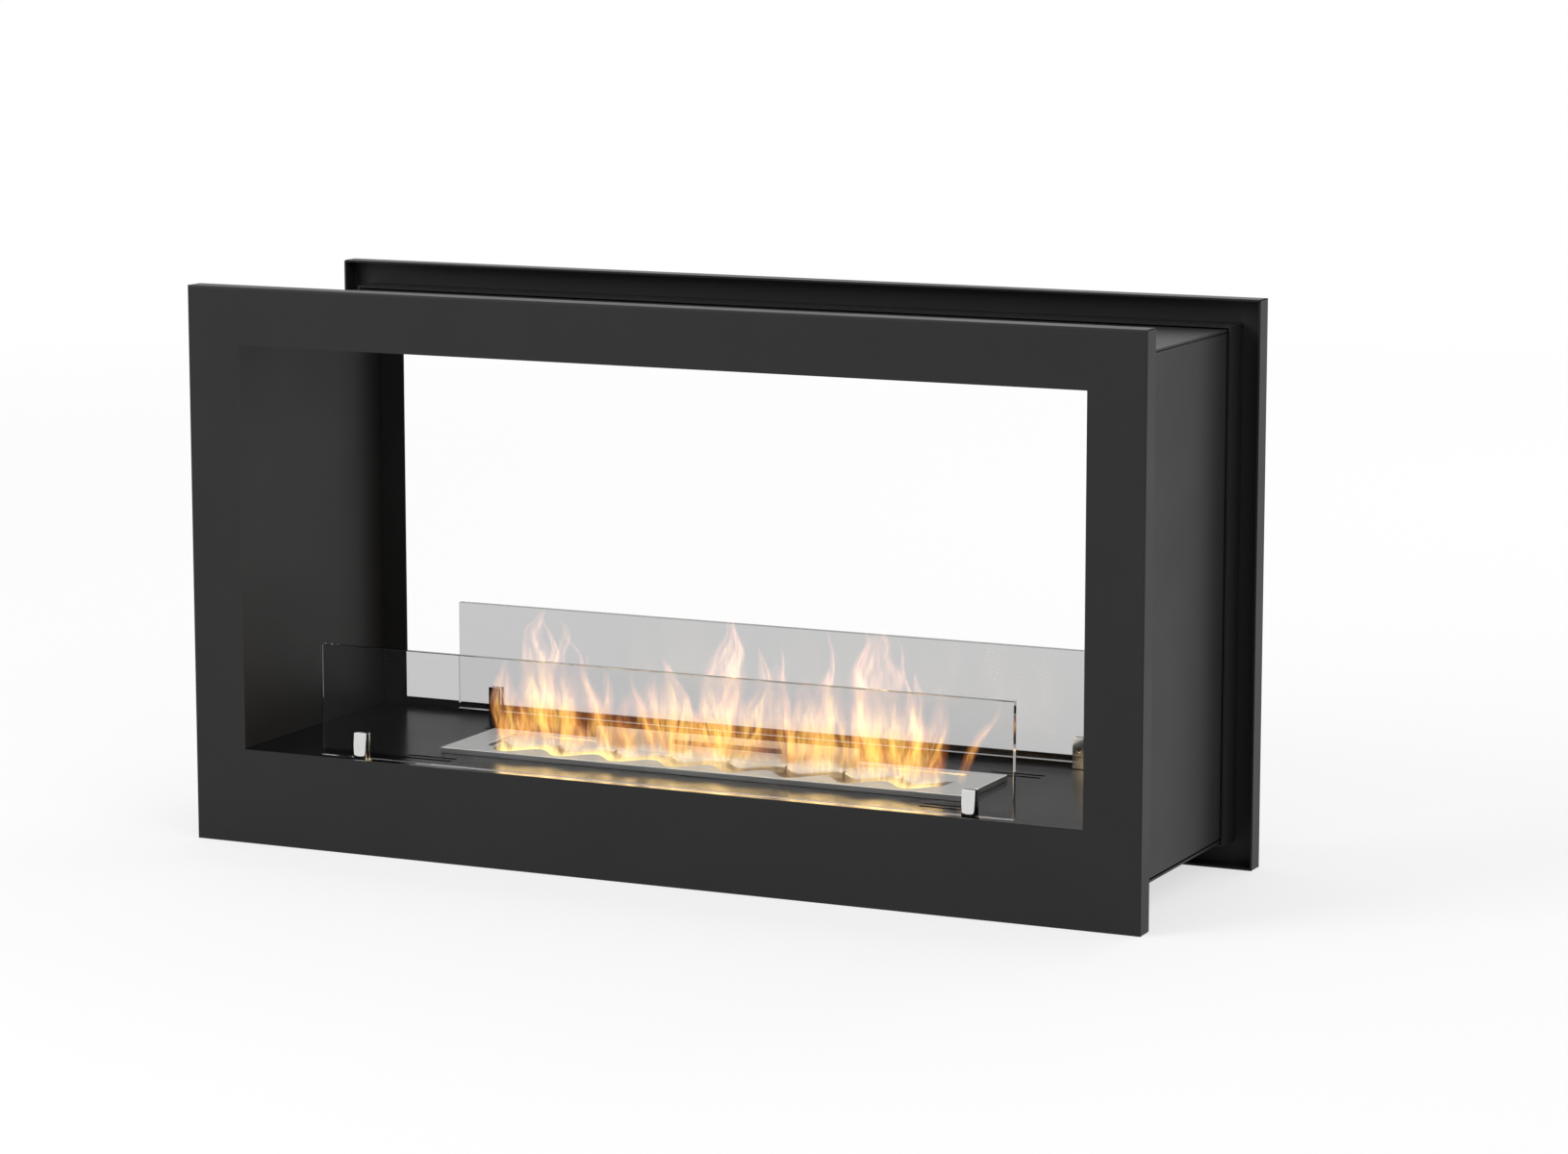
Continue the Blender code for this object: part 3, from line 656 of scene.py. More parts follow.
def even_normals(piece: Piece) -> None:
    """Weight a piece's normals by face size, so that flats stay flat beside their folds."""
    piece.modifiers.new("even_normals", "WEIGHTED_NORMAL").keep_sharp = True


class Workshop:
    """Holds each finish's material, and gives it to pieces and carried-over nodes."""

    def __init__(self) -> None:
        """Build the materials and read which slot each node has."""
        self.materials = {slot: finish.build() for slot, finish in FINISHES.items()}
        self.flame = FLAME.build()
        self.slots = {row["node"]: Slot(row["material_slot"]) for row in frame["record"]["subparts"]}
        self.waiting = set(frame["nodes"])

    def dress(self, *starts: str) -> list[str]:
        """Give carried-over nodes the material of their slot.

        Args:
            starts: What the nodes' names start with.

        Returns:
            The nodes' names.
        """
        names = [name for name in frame["nodes"] if name.startswith(starts)]
        for name in names:
            mesh = frame["nodes"][name].data
            mesh.materials.clear()
            mesh.materials.append(self.materials[self.slots[name]])
        self.waiting.difference_update(names)
        return names

    def add_piece(self, name: str, mesh: Mesh, body: Body,
                  node: str | None = None) -> Piece:
        """Add a piece that rides on a body and may stand for a node.

        Args:
            name: The piece's name.
            mesh: Its mesh, already in place.
            body: The body that carries it.
            node: The node that it stands for, and whose finish it takes; a flame has none.

        Returns:
            The piece.
        """
        piece = bpy.data.objects.new(name, mesh)
        bpy.context.scene.collection.objects.link(piece)
        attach(piece, body.value)
        mesh.materials.clear()
        if node is None:
            mesh.materials.append(self.flame)
            return piece
        slot = self.slots[node]
        mesh.materials.append(self.materials[slot])
        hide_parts(node)
        self.waiting.discard(node)
        return piece


# Sub-assemblies


@dataclass(frozen=True)
class Casework:
    """The folded faces with their sleeves, the open casing, and the hearth on its supports."""

    nodes: tuple[str, ...] = (
        "front_face", "rear_face", "front_sleeve", "rear_sleeve", "casing", "hearth_support",
    )
    slot_rows: tuple[float, float] = (0.0775, 0.0890)
    slot_reach: float = 0.001375
    slot_ends: tuple[float, float] = (0.2500, 0.3060)
    slot_growth: float = 2.2

    def hearth_mesh(self) -> Mesh:
        """Copy the hearth plate with its air slots opened as wide as the photograph shows them.

        A point within reach of a slot row's middle line y0 moves from y to y0 + growth (y - y0).

        Returns:
            The mesh.
        """
        mesh = merged_copy("hearth_plate", "hearth_plate_sheet")
        points = np.empty(len(mesh.vertices) * 3)
        mesh.vertices.foreach_get("co", points)
        x, y = np.abs(points[0::3]), np.abs(points[1::3])
        beside = (x > self.slot_ends[0]) & (x < self.slot_ends[1])
        for row in self.slot_rows:
            edge = beside & (np.abs(y - row) < self.slot_reach)
            points[1::3][edge] *= (row + self.slot_growth * (y[edge] - row)) / y[edge]
        mesh.vertices.foreach_set("co", points)
        mesh.set_sharp_from_angle(angle=SHARP_ANGLE)
        return mesh

    def build(self, workshop: Workshop) -> list[str]:
        """Dress the carried-over sheets and build the hearth plate.

        Args:
            workshop: Holds the materials.

        Returns:
            The names of the pieces.
        """
        hearth = workshop.add_piece("hearth_plate_fine", self.hearth_mesh(), Body.HOUSING,
                                    "hearth_plate")
        return [hearth.name, *workshop.dress(*self.nodes)]


@dataclass(frozen=True)
class Wave:
    """The wavy line that the burner's opening and the lid share.

    It is y = mean + height cos(2 pi x / pitch).
    """

    pitch: float = 0.062
    height: float = 0.012
    flange_y: float = -0.036
    lid_y: float = -0.005
    steps: int = 28

    def y(self, x: Array, mean: float) -> Array:
        """Return the line's y at each x."""
        return mean + self.height * np.cos(2 * math.pi * x / self.pitch)

    def stretch(self, x: Array) -> Array:
        """Return how much longer a step along y is than the same step square to the line."""
        turn = 2 * math.pi / self.pitch
        return np.hypot(self.height * turn * np.sin(turn * x), 1)

    def places(self, low: float, high: float) -> Array:
        """Return evenly spaced x from low to high, fine enough for the line."""
        return np.linspace(low, high, math.ceil((high - low) / self.pitch * self.steps) + 1)


# The wool's lumps: crossed waves share * sin(a x + b y + swing * sin(c x + d y)), in this order
LUMP_WAVES = (
    (1.0, 310, 0, 1.3, 0, 190), (1.0, 0, 430, 2.1, 140, 0),
    (0.6, 620, 620, 0.0, 0, 0), (0.4, 840, -1680, 0.0, 0, 0),
)


@dataclass(frozen=True)
class Burner:
    """The drop-in burner: flange with its wavy opening, fuel tank, deck and wool pad."""

    wave: Wave
    sheet: float = 0.0015
    fold_radius: float = 0.0007
    inner_radius: float = 0.0005
    fold_steps: int = 8
    opening_half: float = 0.2475
    opening_rear: float = 0.041
    corner_radius: float = 0.005
    corner_steps: int = 8
    cut_edge: float = 0.00018
    ring_y: float = 0.0496
    ring_gap: float = 0.0015
    wool_core: float = 0.97
    wool_roundest: float = 0.9
    wool_corner: float = 0.004
    wool_edge: float = 0.0024
    wool_edge_steps: int = 6
    wool_lump: float = 0.0008
    wool_ramp: float = 3.0
    wool_columns: int = 720
    wool_rings: int = 34
    wool_fill: float = 0.8

    def opening_line(self) -> tuple[Array, Array]:
        """Trace the opening counter-clockwise from its front left corner.

        The front follows the wave; the ends and the rear are straight and meet in quarter circles.

        Returns:
            The points, and each point's place round the outline: 0 to 1 along the front, to 2 up
            the right end, to 3 along the rear and to 4 down the left end.
        """
        half, radius = self.opening_half, self.corner_radius
        x = self.wave.places(-half, half)
        front = np.column_stack([x, self.wave.y(x, self.wave.flange_y)])
        sine, cosine = quarter_turn(self.corner_steps)
        side, crown = half - radius, self.opening_rear - radius
        right = np.column_stack([side + radius * cosine, crown + radius * sine])
        left = np.column_stack([-side - radius * sine, crown + radius * cosine])
        points = np.vstack([front, right, left])
        steps = np.linalg.norm(np.diff(np.vstack([points, points[:1]]), axis=0), axis=1)
        travel = np.concatenate([[0], np.cumsum(steps)])
        bend = len(front) + self.corner_steps // 2
        corners = [0, len(front) - 1, bend, bend + len(right), len(points)]
        return points, np.interp(travel[:-1], travel[corners], np.arange(5))

    def flange_mesh(self) -> Mesh:
        """Build the flange: the sheet's section carried round between the opening and the rim.

        At each place round, the section starts at the opening's eased edge, runs out over the
        top, turns down over the fold as a quarter circle, ends at the foot and comes back inside.
        A point at an inset from the rim lies on the rim's rectangle drawn in by that inset. A ring
        between the two runs straight past the wave, so that no face cuts across the opening.

        Returns:
            The mesh.
        """
        low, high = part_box("burner_flange")
        half_x, half_y, top, foot = high.x, high.y, high.z, low.z
        base = top - self.sheet
        points, places = self.opening_line()
        along = np.roll(points, -1, axis=0) - np.roll(points, 1, axis=0)
        along /= np.linalg.norm(along, axis=1)[:, None]
        outward = np.column_stack([along[:, 1], -along[:, 0]])
        round_x, round_y = square_outline(places)

        def inner(offset: float, z: float) -> Array:
            """Return a ring at an offset outward from the opening's edge."""
            return np.column_stack([points + outward * offset, np.full(len(points), z)])

        def middle(z: float) -> Array:
            """Lay a ring just outside the opening, straight in front of the wave.

            Args:
                z: The ring's height.

            Returns:
                The ring's points.
            """
            beside = points + outward * self.ring_gap
            ahead = np.column_stack([points[:, 0], np.full(len(points), -self.ring_y)])
            flat = np.where((places <= 1)[:, None], ahead, beside)
            return np.column_stack([flat, np.full(len(points), z)])

        def outer(inset: float, z: float) -> Array:
            """Return a ring at an inset from the rim."""
            x, y = round_x * (half_x - inset), round_y * (half_y - inset)
            return np.column_stack([x, y, np.full(len(points), z)])

        ease, fold = self.cut_edge, self.fold_radius
        sine, cosine = quarter_turn(self.fold_steps)
        rings = [inner(ease, top), middle(top)]
        rings += [outer(fold * (1 - s), top - fold * (1 - c)) for s, c in zip(sine, cosine)]
        rings += [
            outer(0, foot + ease), outer(ease, foot), outer(self.sheet, foot),
            outer(self.sheet, base - self.inner_radius),
            outer(self.sheet + self.inner_radius, base), middle(base), inner(0, base),
            inner(0, top - ease),
        ]
        grid = np.stack(rings, axis=1)
        quads = loop_quads(grid.shape[0], grid.shape[1], True).reshape(-1, 4)
        return closed_mesh("burner_flange_sheet", grid, quads.tolist())

    def wool_mesh(self) -> Mesh:
        """Build the wool pad: rings from the middle of its base, round its soft side, over its top.

        Each ring is a rectangle's outline drawn in to a radius from the nearest point of its core,
        which rounds its corners. The side's section is two quarter circles. The top sinks from the
        edge inward by crossed sine waves, up to the lump's height.

        Returns:
            The mesh.
        """
        low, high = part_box("ceramic_wool")
        sine, cosine = quarter_turn(self.wool_edge_steps)
        edge = self.wool_edge
        inward = np.linspace(high.y * self.wool_core, edge, self.wool_rings)
        insets = np.concatenate([inward[:-1], edge * (1 - sine), edge * (1 - cosine), inward[-2::-1]])
        flat = np.zeros(len(inward) - 1)
        z = np.concatenate([
            flat + low.z, low.z + edge * (1 - cosine), high.z - edge * (1 - sine), flat + high.z,
        ])
        turn = np.linspace(0, 4, self.wool_columns, endpoint=False)
        half = np.array([high.x, high.y]) - insets[:, None]
        outline = np.column_stack(square_outline(turn))[None] * half[:, None]
        roundest = half.min(axis=1) * self.wool_roundest
        radius = np.minimum(self.wool_corner, roundest)[:, None, None]
        core = np.clip(outline, -half[:, None] + radius, half[:, None] - radius)
        away = outline - core
        spread = np.linalg.norm(away, axis=2, keepdims=True)
        outline = core + away / spread * radius
        x, y = outline[..., 0], outline[..., 1]
        lumps = sum(share * np.sin(a * x + b * y + swing * np.sin(c * x + d * y))
                    for share, a, b, swing, c, d in LUMP_WAVES)
        top = np.arange(len(z)) > len(z) // 2
        sink = top * np.clip((insets / edge - 1) / self.wool_ramp, 0, 1) * self.wool_lump
        highest = sum(wave[0] for wave in LUMP_WAVES)
        z = z[:, None] - sink[:, None] * (0.5 + lumps / (2 * highest))
        grid = np.concatenate([outline, z[..., None]], axis=2)
        rows, columns = z.shape
        quads = loop_quads(rows, columns, False).reshape(-1, 4).tolist()
        ends = [list(range(columns)), list(range((rows - 1) * columns, rows * columns))]
        return closed_mesh("ceramic_wool_pad", grid, quads + ends)

    def build(self, workshop: Workshop) -> list[str]:
        """Build the flange and the wool, and dress the tank and the deck.

        Args:
            workshop: Holds the materials.

        Returns:
            The names of the pieces.
        """
        flange = workshop.add_piece("burner_flange_fine", self.flange_mesh(), Body.BURNER,
                                    "burner_flange")
        even_normals(flange)
        pad = workshop.add_piece("ceramic_wool_pad", self.wool_mesh(), Body.BURNER, "ceramic_wool")
        return [flange.name, pad.name, *workshop.dress("fuel_tank", "burner_deck")]


@dataclass(frozen=True)
class Slider:
    """The sliding lid with its folded wavy lip, and the upright handle plate on it."""

    wave: Wave
    sheet: float = 0.0015
    fold_radius: float = 0.0014
    inner_radius: float = 0.0004
    fold_steps: int = 6
    half_width: float = 0.2461
    rear_y: float = 0.0404
    corner_radius: float = 0.005
    corner_steps: int = 8
    lip_half: float = 0.2391
    lip_foot: float = 0.0845
    relief_width: float = 0.0032
    relief_depth: float = 0.0046
    relief_shift: float = 0.007
    relief_margin: float = 1.2
    relief_match: float = 0.01
    cut_edge: float = 0.00018

    def stations(self) -> tuple[Array, Array, Array]:
        """Lay out the places along x where the lid's section is set.

        Returns:
            The places, whether the lip is there, and whether a relief starts after each place.
        """
        reach = math.ceil(self.lip_half / self.wave.pitch)
        reliefs = np.arange(-reach, reach + 1) * self.wave.pitch + self.relief_shift
        reliefs = reliefs[np.abs(reliefs) < self.lip_half - self.wave.pitch / 4]
        half = self.relief_width / 2
        inner = self.wave.places(-self.lip_half, self.lip_half)
        gap = np.abs(inner[:, None] - reliefs).min(axis=1)
        inner = inner[gap > half * self.relief_margin]
        inner = np.sort(np.concatenate([inner, reliefs - half, reliefs + half]))
        sine, _ = quarter_turn(self.corner_steps)
        end = self.half_width - self.corner_radius * (1 - sine)
        end = end[end > self.lip_half]
        bare = np.zeros(len(end) + 1, bool)
        x = np.concatenate([-end[::-1], [-self.lip_half], inner, [self.lip_half], end])
        has_lip = np.concatenate([bare, np.ones(len(inner), bool), bare])
        starts = np.abs(x[:, None] - (reliefs - half)).min(axis=1) < half * self.relief_match
        return x, has_lip, starts

    def lid_mesh(self) -> Mesh:
        """Build the lid: its section carried along x, with the lip cut away at each relief.

        At each x the section is the sheet from the rear edge to the wave, turned down there by a
        quarter circle and ending at the lip's foot. A depth square to the wave is a depth along y
        divided by the wave's stretch there. Where the lip is missing, its points rise to the sheet.

        Returns:
            The mesh.
        """
        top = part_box("slider_lid")[1].z
        base, ease, fold = top - self.sheet, self.cut_edge, self.fold_radius
        x, has_lip, starts = self.stations()
        front = self.wave.y(x, self.wave.lid_y)
        stretch = self.wave.stretch(x)
        past = np.clip(np.abs(x) - (self.half_width - self.corner_radius), 0, self.corner_radius)
        rear = self.rear_y - self.corner_radius + np.sqrt(self.corner_radius ** 2 - past ** 2)
        floor = front + self.relief_depth
        foot = np.where(has_lip, self.lip_foot, base)
        foot_ease = np.where(has_lip, ease, 0)
        inner_foot = np.where(has_lip, base - self.inner_radius, base)
        sine, cosine = quarter_turn(self.fold_steps)

        def line(y: Array, z: Array | float) -> Array:
            """Return one line of the grid, along x."""
            return np.column_stack([x, y, np.broadcast_to(z, x.shape)])

        bend = [
            line(front + stretch * fold * (1 - s), top - fold * (1 - c)) for s, c in zip(sine, cosine)
        ]
        lip = [
            line(floor, top), *bend, line(front, foot + foot_ease),
            line(front + stretch * foot_ease, foot), line(front + stretch * self.sheet, foot),
            line(front + stretch * self.sheet, inner_foot),
            line(front + stretch * (self.sheet + self.inner_radius), base), line(floor, base),
        ]
        lines = [line(rear, top - ease), line(rear - ease, top), *lip, line(rear, base)]
        first, last = 2, 1 + len(lip)
        grid = np.stack(lines, axis=1)
        rows, columns = grid.shape[:2]
        quads = loop_quads(rows, columns, False)
        column = np.arange(columns)
        cut = starts[:-1, None] & (column >= first) & (column < last)
        before = np.flatnonzero(starts) * columns
        after = before + columns
        floors = np.column_stack([before + first, before + last, after + last, after + first])
        walls = np.concatenate([before, after])[:, None] + np.arange(first, last + 1)
        ends = np.array([[0], [(rows - 1) * columns]]) + column
        faces = [*quads[~cut].tolist(), *floors.tolist(), *walls.tolist(), *ends.tolist()]
        return closed_mesh("slider_lid_sheet", grid, faces)

    def build(self, workshop: Workshop) -> list[str]:
        """Build the lid and dress the handle.

        Args:
            workshop: Holds the materials.

        Returns:
            The names of the pieces.
        """
        lid = workshop.add_piece("slider_lid_fine", self.lid_mesh(), Body.SLIDER, "slider_lid")
        even_normals(lid)
        return [lid.name, *workshop.dress("slider_handle")]


@dataclass(frozen=True)
class Screens:
    """The two glass panes, the four clips that hold them, and the clips' screws and bolts."""

    edge_round: float = 0.0003
    edge_angle: float = math.radians(40)
    edge_segments: int = 3

    def build(self, workshop: Workshop) -> list[str]:
        """Dress the panes and the screws, and give the clips rounded edges.

        Args:
            workshop: Holds the materials.

        Returns:
            The names of the pieces.
        """
        names = workshop.dress("front_glass", "rear_glass", "clamp_screw", "clip_bolt")
        for node in [name for name in frame["nodes"] if name.startswith("glass_clip")]:
            name = node + "_polished"
            clip = workshop.add_piece(name, merged_copy(node, name), Body.HOUSING, node)
            bevel = clip.modifiers.new("rounded_edges", "BEVEL")
            bevel.width, bevel.segments = self.edge_round, self.edge_segments
            bevel.limit_method, bevel.angle_limit = "ANGLE", self.edge_angle
            even_normals(clip)
            names.append(clip.name)
        return names


@dataclass(frozen=True)
class Tongue:
    """One tongue of flame.

    Its middle line runs from root to tip in x and z, in millimetres, as its half width is. Its
    rim says how much brighter its sides are than its middle.
    """

    line: tuple[tuple[float, float], ...]
    half_width: float
    strength: float
    rim: float = 0.0


REAR_TONGUES = (
    Tongue(((-222, 90), (-228, 125), (-230, 150), (-232, 180)), 19, 0.65, 0.3),
    Tongue(((-205, 88), (-203, 125), (-205, 162)), 30, 0.5),
    Tongue(((-172, 92), (-180, 125), (-192, 160), (-198, 190), (-192, 212), (-182, 233)), 24, 0.55, 0.8),
    Tongue(((-160, 92), (-164, 130), (-168, 168), (-167, 200), (-168, 224)), 13, 0.4, 0.5),
    Tongue(((-148, 90), (-145, 120), (-146, 150), (-150, 180)), 30, 0.45),
    Tongue(((-122, 92), (-118, 125), (-116, 150), (-118, 178)), 14, 0.4, 0.6),
    Tongue(((-88, 92), (-84, 118), (-82, 162)), 30, 0.33),
    Tongue(((-62, 92), (-62, 125), (-66, 178)), 26, 0.33),
    Tongue(((-36, 95), (-38, 130), (-42, 160), (-48, 180), (-58, 194)), 20, 0.95, 0.5),
    Tongue(((-8, 95), (-6, 130), (-5, 158), (-5, 182)), 16, 0.45, 0.2),
    Tongue(((16, 92), (12, 140), (12, 180), (14, 212), (18, 239)), 29, 0.5, 0.8),
    Tongue(((32, 95), (46, 142), (54, 174), (53, 192), (47, 210)), 15, 0.5, 0.5),
    Tongue(((72, 95), (70, 130), (68, 160), (66, 196)), 24, 0.33, 0.2),
    Tongue(((96, 92), (98, 120), (99, 184)), 26, 0.45),
    Tongue(((122, 92), (122, 118), (121, 140), (123, 196)), 28, 0.75),
    Tongue(((168, 92), (166, 140), (165, 180), (170, 212), (176, 239)), 29, 0.5, 0.7),
    Tongue(((184, 95), (190, 150), (190, 190), (184, 213), (177, 234)), 15, 0.4, 0.5),
    Tongue(((200, 90), (202, 120), (208, 180)), 32, 0.55),
    Tongue(((224, 92), (234, 130), (240, 160), (236, 188)), 15, 0.45, 0.3),
    Tongue(((262, 96), (272, 122), (286, 146), (296, 163), (306, 181)), 6.5, 0.5),
)
FRONT_TONGUES = (
    Tongue(((-229, 86), (-224, 104), (-226, 128)), 13, 0.8, 0.2),
    Tongue(((-205, 86), (-203, 112), (-206, 144)), 13, 0.6),
    Tongue(((-180, 86), (-178, 134), (-174, 168), (-172, 186), (-177, 206), (-185, 225)), 10, 1.0, 0.3),
    Tongue(((-150, 86), (-148, 112), (-151, 142)), 15, 0.8, 0.2),
    Tongue(((-112, 96), (-124, 130), (-131, 158), (-142, 183), (-152, 201), (-159, 221)), 4.5, 0.8),
    Tongue(((-108, 90), (-122, 138), (-131, 163), (-137, 193)), 6, 0.7),
    Tongue(((-120, 88), (-116, 110), (-118, 138)), 10, 0.6),
    Tongue(((-92, 88), (-92, 110), (-97, 136)), 13, 0.75, 0.2),
    Tongue(((-62, 92), (-69, 128), (-73, 146), (-78, 164), (-84, 186)), 5, 0.9),
    Tongue(((-46, 96), (-52, 116), (-58, 137), (-62, 152), (-63, 172)), 4.5, 0.8),
    Tongue(((-38, 88), (-34, 112), (-36, 142)), 11, 0.8, 0.2),
    Tongue(((-2, 96), (-13, 128), (-20, 142), (-23, 160)), 10, 0.8, 0.5),
    Tongue(((14, 86), (14, 110), (12, 142)), 13, 0.45),
    Tongue(((15, 88), (16, 121), (21, 160), (30, 195), (32, 220), (26, 239)), 11, 1.1, 0.3),
    Tongue(((52, 92), (52, 112), (50, 136)), 12, 0.15),
    Tongue(((94, 96), (90, 129), (83, 159), (78, 188), (75, 215)), 5.5, 0.85),
    Tongue(((108, 96), (117, 139), (122, 161), (127, 190), (131, 207), (127, 237)), 6, 0.7),
    Tongue(((172, 92), (165, 145), (159, 184), (161, 209), (166, 237)), 11, 1.0, 0.4),
    Tongue(((176, 88), (178, 112), (176, 142)), 13, 0.7),
    Tongue(((198, 86), (197, 108), (193, 136)), 13, 0.8, 0.2),
    Tongue(((222, 114), (222, 140), (216, 172), (210, 190), (202, 208), (196, 232)), 3.8, 0.8),
    Tongue(((208, 90), (217, 120), (223, 143), (224, 170), (221, 186), (220, 202)), 10, 1.0, 0.2),
    Tongue(((232, 86), (236, 106), (242, 128)), 11, 0.8, 0.2),
)


@dataclass(frozen=True)
class Curtain:
    """One curtain of flame: its tongues, its middle surface's mean y and its seed."""

    name: str
    tongues: tuple[Tongue, ...]
    depth_y: float
    seed: int


CURTAINS = (
    Curtain("flame_rear_curtain", REAR_TONGUES, -0.0165, 11),
    Curtain("flame_front_curtain", FRONT_TONGUES, -0.0250, 23),
)


@dataclass(frozen=True)
class Fire:
    """The flames: thin see-through curtains that rise out of the burner's wavy slot."""

    wave: Wave
    root_z: float = 0.0812
    anchor_z: float = 0.0806
    flange_z: float = 0.092
    slot_half: float = 0.243
    low_x: float = -0.262
    high_x: float = 0.316
    high_z: float = 0.240
    step_x: float = 0.0011
    step_z: float = 0.0017
    threshold: float = 0.012
    thickness: float = 0.0026
    wave_fade: float = 0.030
    kept_share: float = 0.02
    line_steps: int = 200
    smooth_steps: int = 41
    width_scale: float = 1.5
    body_share: float = 0.6
    fibre_share: float = 0.85
    fibre_gap_mm: float = 2.5
    most_fibres: int = 7
    root_share: float = 0.1
    root_height: float = 0.026
    root_fade: float = 0.006
    end_fade: float = 0.004
    end_height: float = 0.002
    bed_height: float = 0.009
    bed_sink: float = 0.004
    bed_fade: float = 0.012
    bed_shares: tuple[float, ...] = (1.0, 1.0, 0.9, 0.8, 0.55, 0.4, 0.1, 0.05, 0.1, 0.7, 1.0)
    bend: float = 0.0032
    shiver: float = 0.0007
    bend_height: float = 0.1
    sway_share: float = 0.04
    ripple_waves: int = 6
    ripple_length: tuple[float, float] = (0.010, 0.045)
    ripple_tilt: tuple[float, float] = (-0.9, 0.9)
    ripple_rise: float = 0.6
    ripple_sum: float = 2.4

    def ripple(self, x: Array, z: Array, seed: int) -> Array:
        """Sum a few sine waves of seeded length, direction and phase.

        Args:
            x: Places along x.
            z: Heights.
            seed: The seed that picks the waves.

        Returns:
            Values around zero, mostly from -1 to 1.
        """
        dice = np.random.default_rng(seed)
        length, tilt, phase = (
            dice.uniform(low, high, self.ripple_waves)[:, None, None]
            for low, high in (self.ripple_length, self.ripple_tilt, (0, 2 * math.pi))
        )
        travel = self.ripple_rise * z * np.cos(tilt) + x * np.sin(tilt)
        return np.sin(2 * math.pi * travel / length + phase).sum(axis=0) / self.ripple_sum

    def tongue_glow(self, tongue: Tongue, x: Array, z: Array, seed: int) -> Array:
        """Work out how strongly one tongue burns at each place.

        With s the height's share from root to tip and q the distance from the middle line in half
        widths, the body is (1 - q^2)^0.8 (1 + rim q^2). Fibres run up the body: each is a bell
        round q = centre + swing sin(2 pi (turns s + phase)). The whole is multiplied by strength
        (1 - s)^0.7, and grows from the root share to full over the root height. The half width is
        the given one times width scale (1 - s)^0.7 (0.45 + s)^0.25.

        Args:
            tongue: The tongue.
            x: Places along x, in metres.
            z: Heights, in metres.
            seed: Picks the fibres.

        Returns:
            The glow at each place.
        """
        line = np.array(tongue.line) * MM
        fine = np.linspace(line[0, 1], line[-1, 1], self.line_steps)
        middle = np.interp(fine, line[:, 1], line[:, 0])
        kernel = np.hanning(self.smooth_steps)
        padded = np.pad(middle, self.smooth_steps // 2, mode="reflect", reflect_type="odd")
        middle = np.convolve(padded, kernel / kernel.sum(), mode="valid")
        share = np.clip((z - line[0, 1]) / (line[-1, 1] - line[0, 1]), 0, 1)
        column = (1 - share) ** 0.7
        half_width = tongue.half_width * MM * self.width_scale
        width = half_width * column * (0.45 + share) ** 0.25 + 1e-5
        q = (x - np.interp(z, fine, middle)) / width
        inside = np.clip(1 - q ** 2, 0, 1)
        dice = np.random.default_rng(seed)
        count = int(np.clip(tongue.half_width / self.fibre_gap_mm, 1, self.most_fibres))
        centre, phase, swing, turns, bell = (
            dice.uniform(low, high, count)[:, None, None]
            for low, high in ((-0.7, 0.7), (0, 1), (0.1, 0.35), (0.5, 1.3), (0.08, 0.2))
        )
        place = centre + swing * np.sin(2 * math.pi * (turns * share + phase))
        fibres = np.exp(-((q - place) / bell) ** 2).sum(axis=0) * inside
        body = inside ** 0.8 * (1 + tongue.rim * q ** 2)
        grown = np.clip((z - self.flange_z) / self.root_height, 0, 1)
        fade = self.root_share + (1 - self.root_share) * grown
        filled = self.body_share * body + self.fibre_share * fibres
        return tongue.strength * column * fade * filled

    def bed_glow(self, x: Array, z: Array, seed: int) -> Array:
        """Work out the low fire along the slot: strong at both ends and weak right of the middle.

        It is along(x) (1 - rise / height)^1.5, with a rippled height. Here along(x) follows the
        shares at even places from the slot's left end to its right end, and fades at both.

        Args:
            x: Places along x.
            z: Heights.
            seed: Picks the ripples.

        Returns:
            The glow at each place.
        """
        places = np.linspace(-self.slot_half, self.slot_half, len(self.bed_shares))
        along = np.interp(x, places, self.bed_shares)
        along = along * np.clip((self.slot_half - np.abs(x)) / self.bed_fade, 0, 1)
        high = self.bed_height * (1 + 0.35 * self.ripple(1.5 * x, 0 * z, seed))
        rise = np.clip((z - self.flange_z + self.bed_sink) / high, 0, 1)
        return along * (1 - rise) ** 1.5

    def glow_field(self, curtain: Curtain, x: Array, z: Array) -> Array:
        """Add up a curtain's glow over places bent by ripples that grow with height.

        The sum g is limited softly, as 1 - exp(-g).

        Args:
            curtain: The curtain.
            x: Places along x.
            z: Heights.

        Returns:
            The glow at each place, faded in over the root and kept clear of the slot's ends.
        """
        seed = curtain.seed
        rise = np.clip((z - self.flange_z) / self.bend_height, 0, 1)
        bent = (x + self.bend * rise * self.ripple(0.5 * x, 0.5 * z, seed)
                + self.shiver * self.ripple(x, z, seed + 1))
        glow = sum(
            self.tongue_glow(tongue, bent, z, seed + 10 * i) for i, tongue in enumerate(curtain.tongues)
        )
        uneven = 1 + 0.2 * self.ripple(1.7 * x, 0.8 * z, seed + 2)
        glow = (glow + self.bed_glow(x, z, seed + 4)) * uneven
        glow *= np.clip((z - self.root_z) / self.root_fade, 0, 1) ** 0.5
        within = np.clip((self.slot_half - np.abs(x)) / self.end_fade, 0, 1)
        low = z < self.flange_z + self.end_height
        return 1 - np.exp(-np.maximum(glow, 0) * np.where(low, within, 1))

    @staticmethod
    def corners_of(cells: Array, every: bool) -> Array:
        """Mark the grid points that touch marked cells.

        Args:
            cells: Which cells are marked.
            every: Whether all four cells round a point have to be marked, or only one.

        Returns:
            Which points are marked.
        """
        rows, columns = cells.shape
        padded = np.pad(cells, 1)
        parts = [padded[a:a + rows + 1, b:b + columns + 1] for a in (0, 1) for b in (0, 1)]
        return np.logical_and.reduce(parts) if every else np.logical_or.reduce(parts)

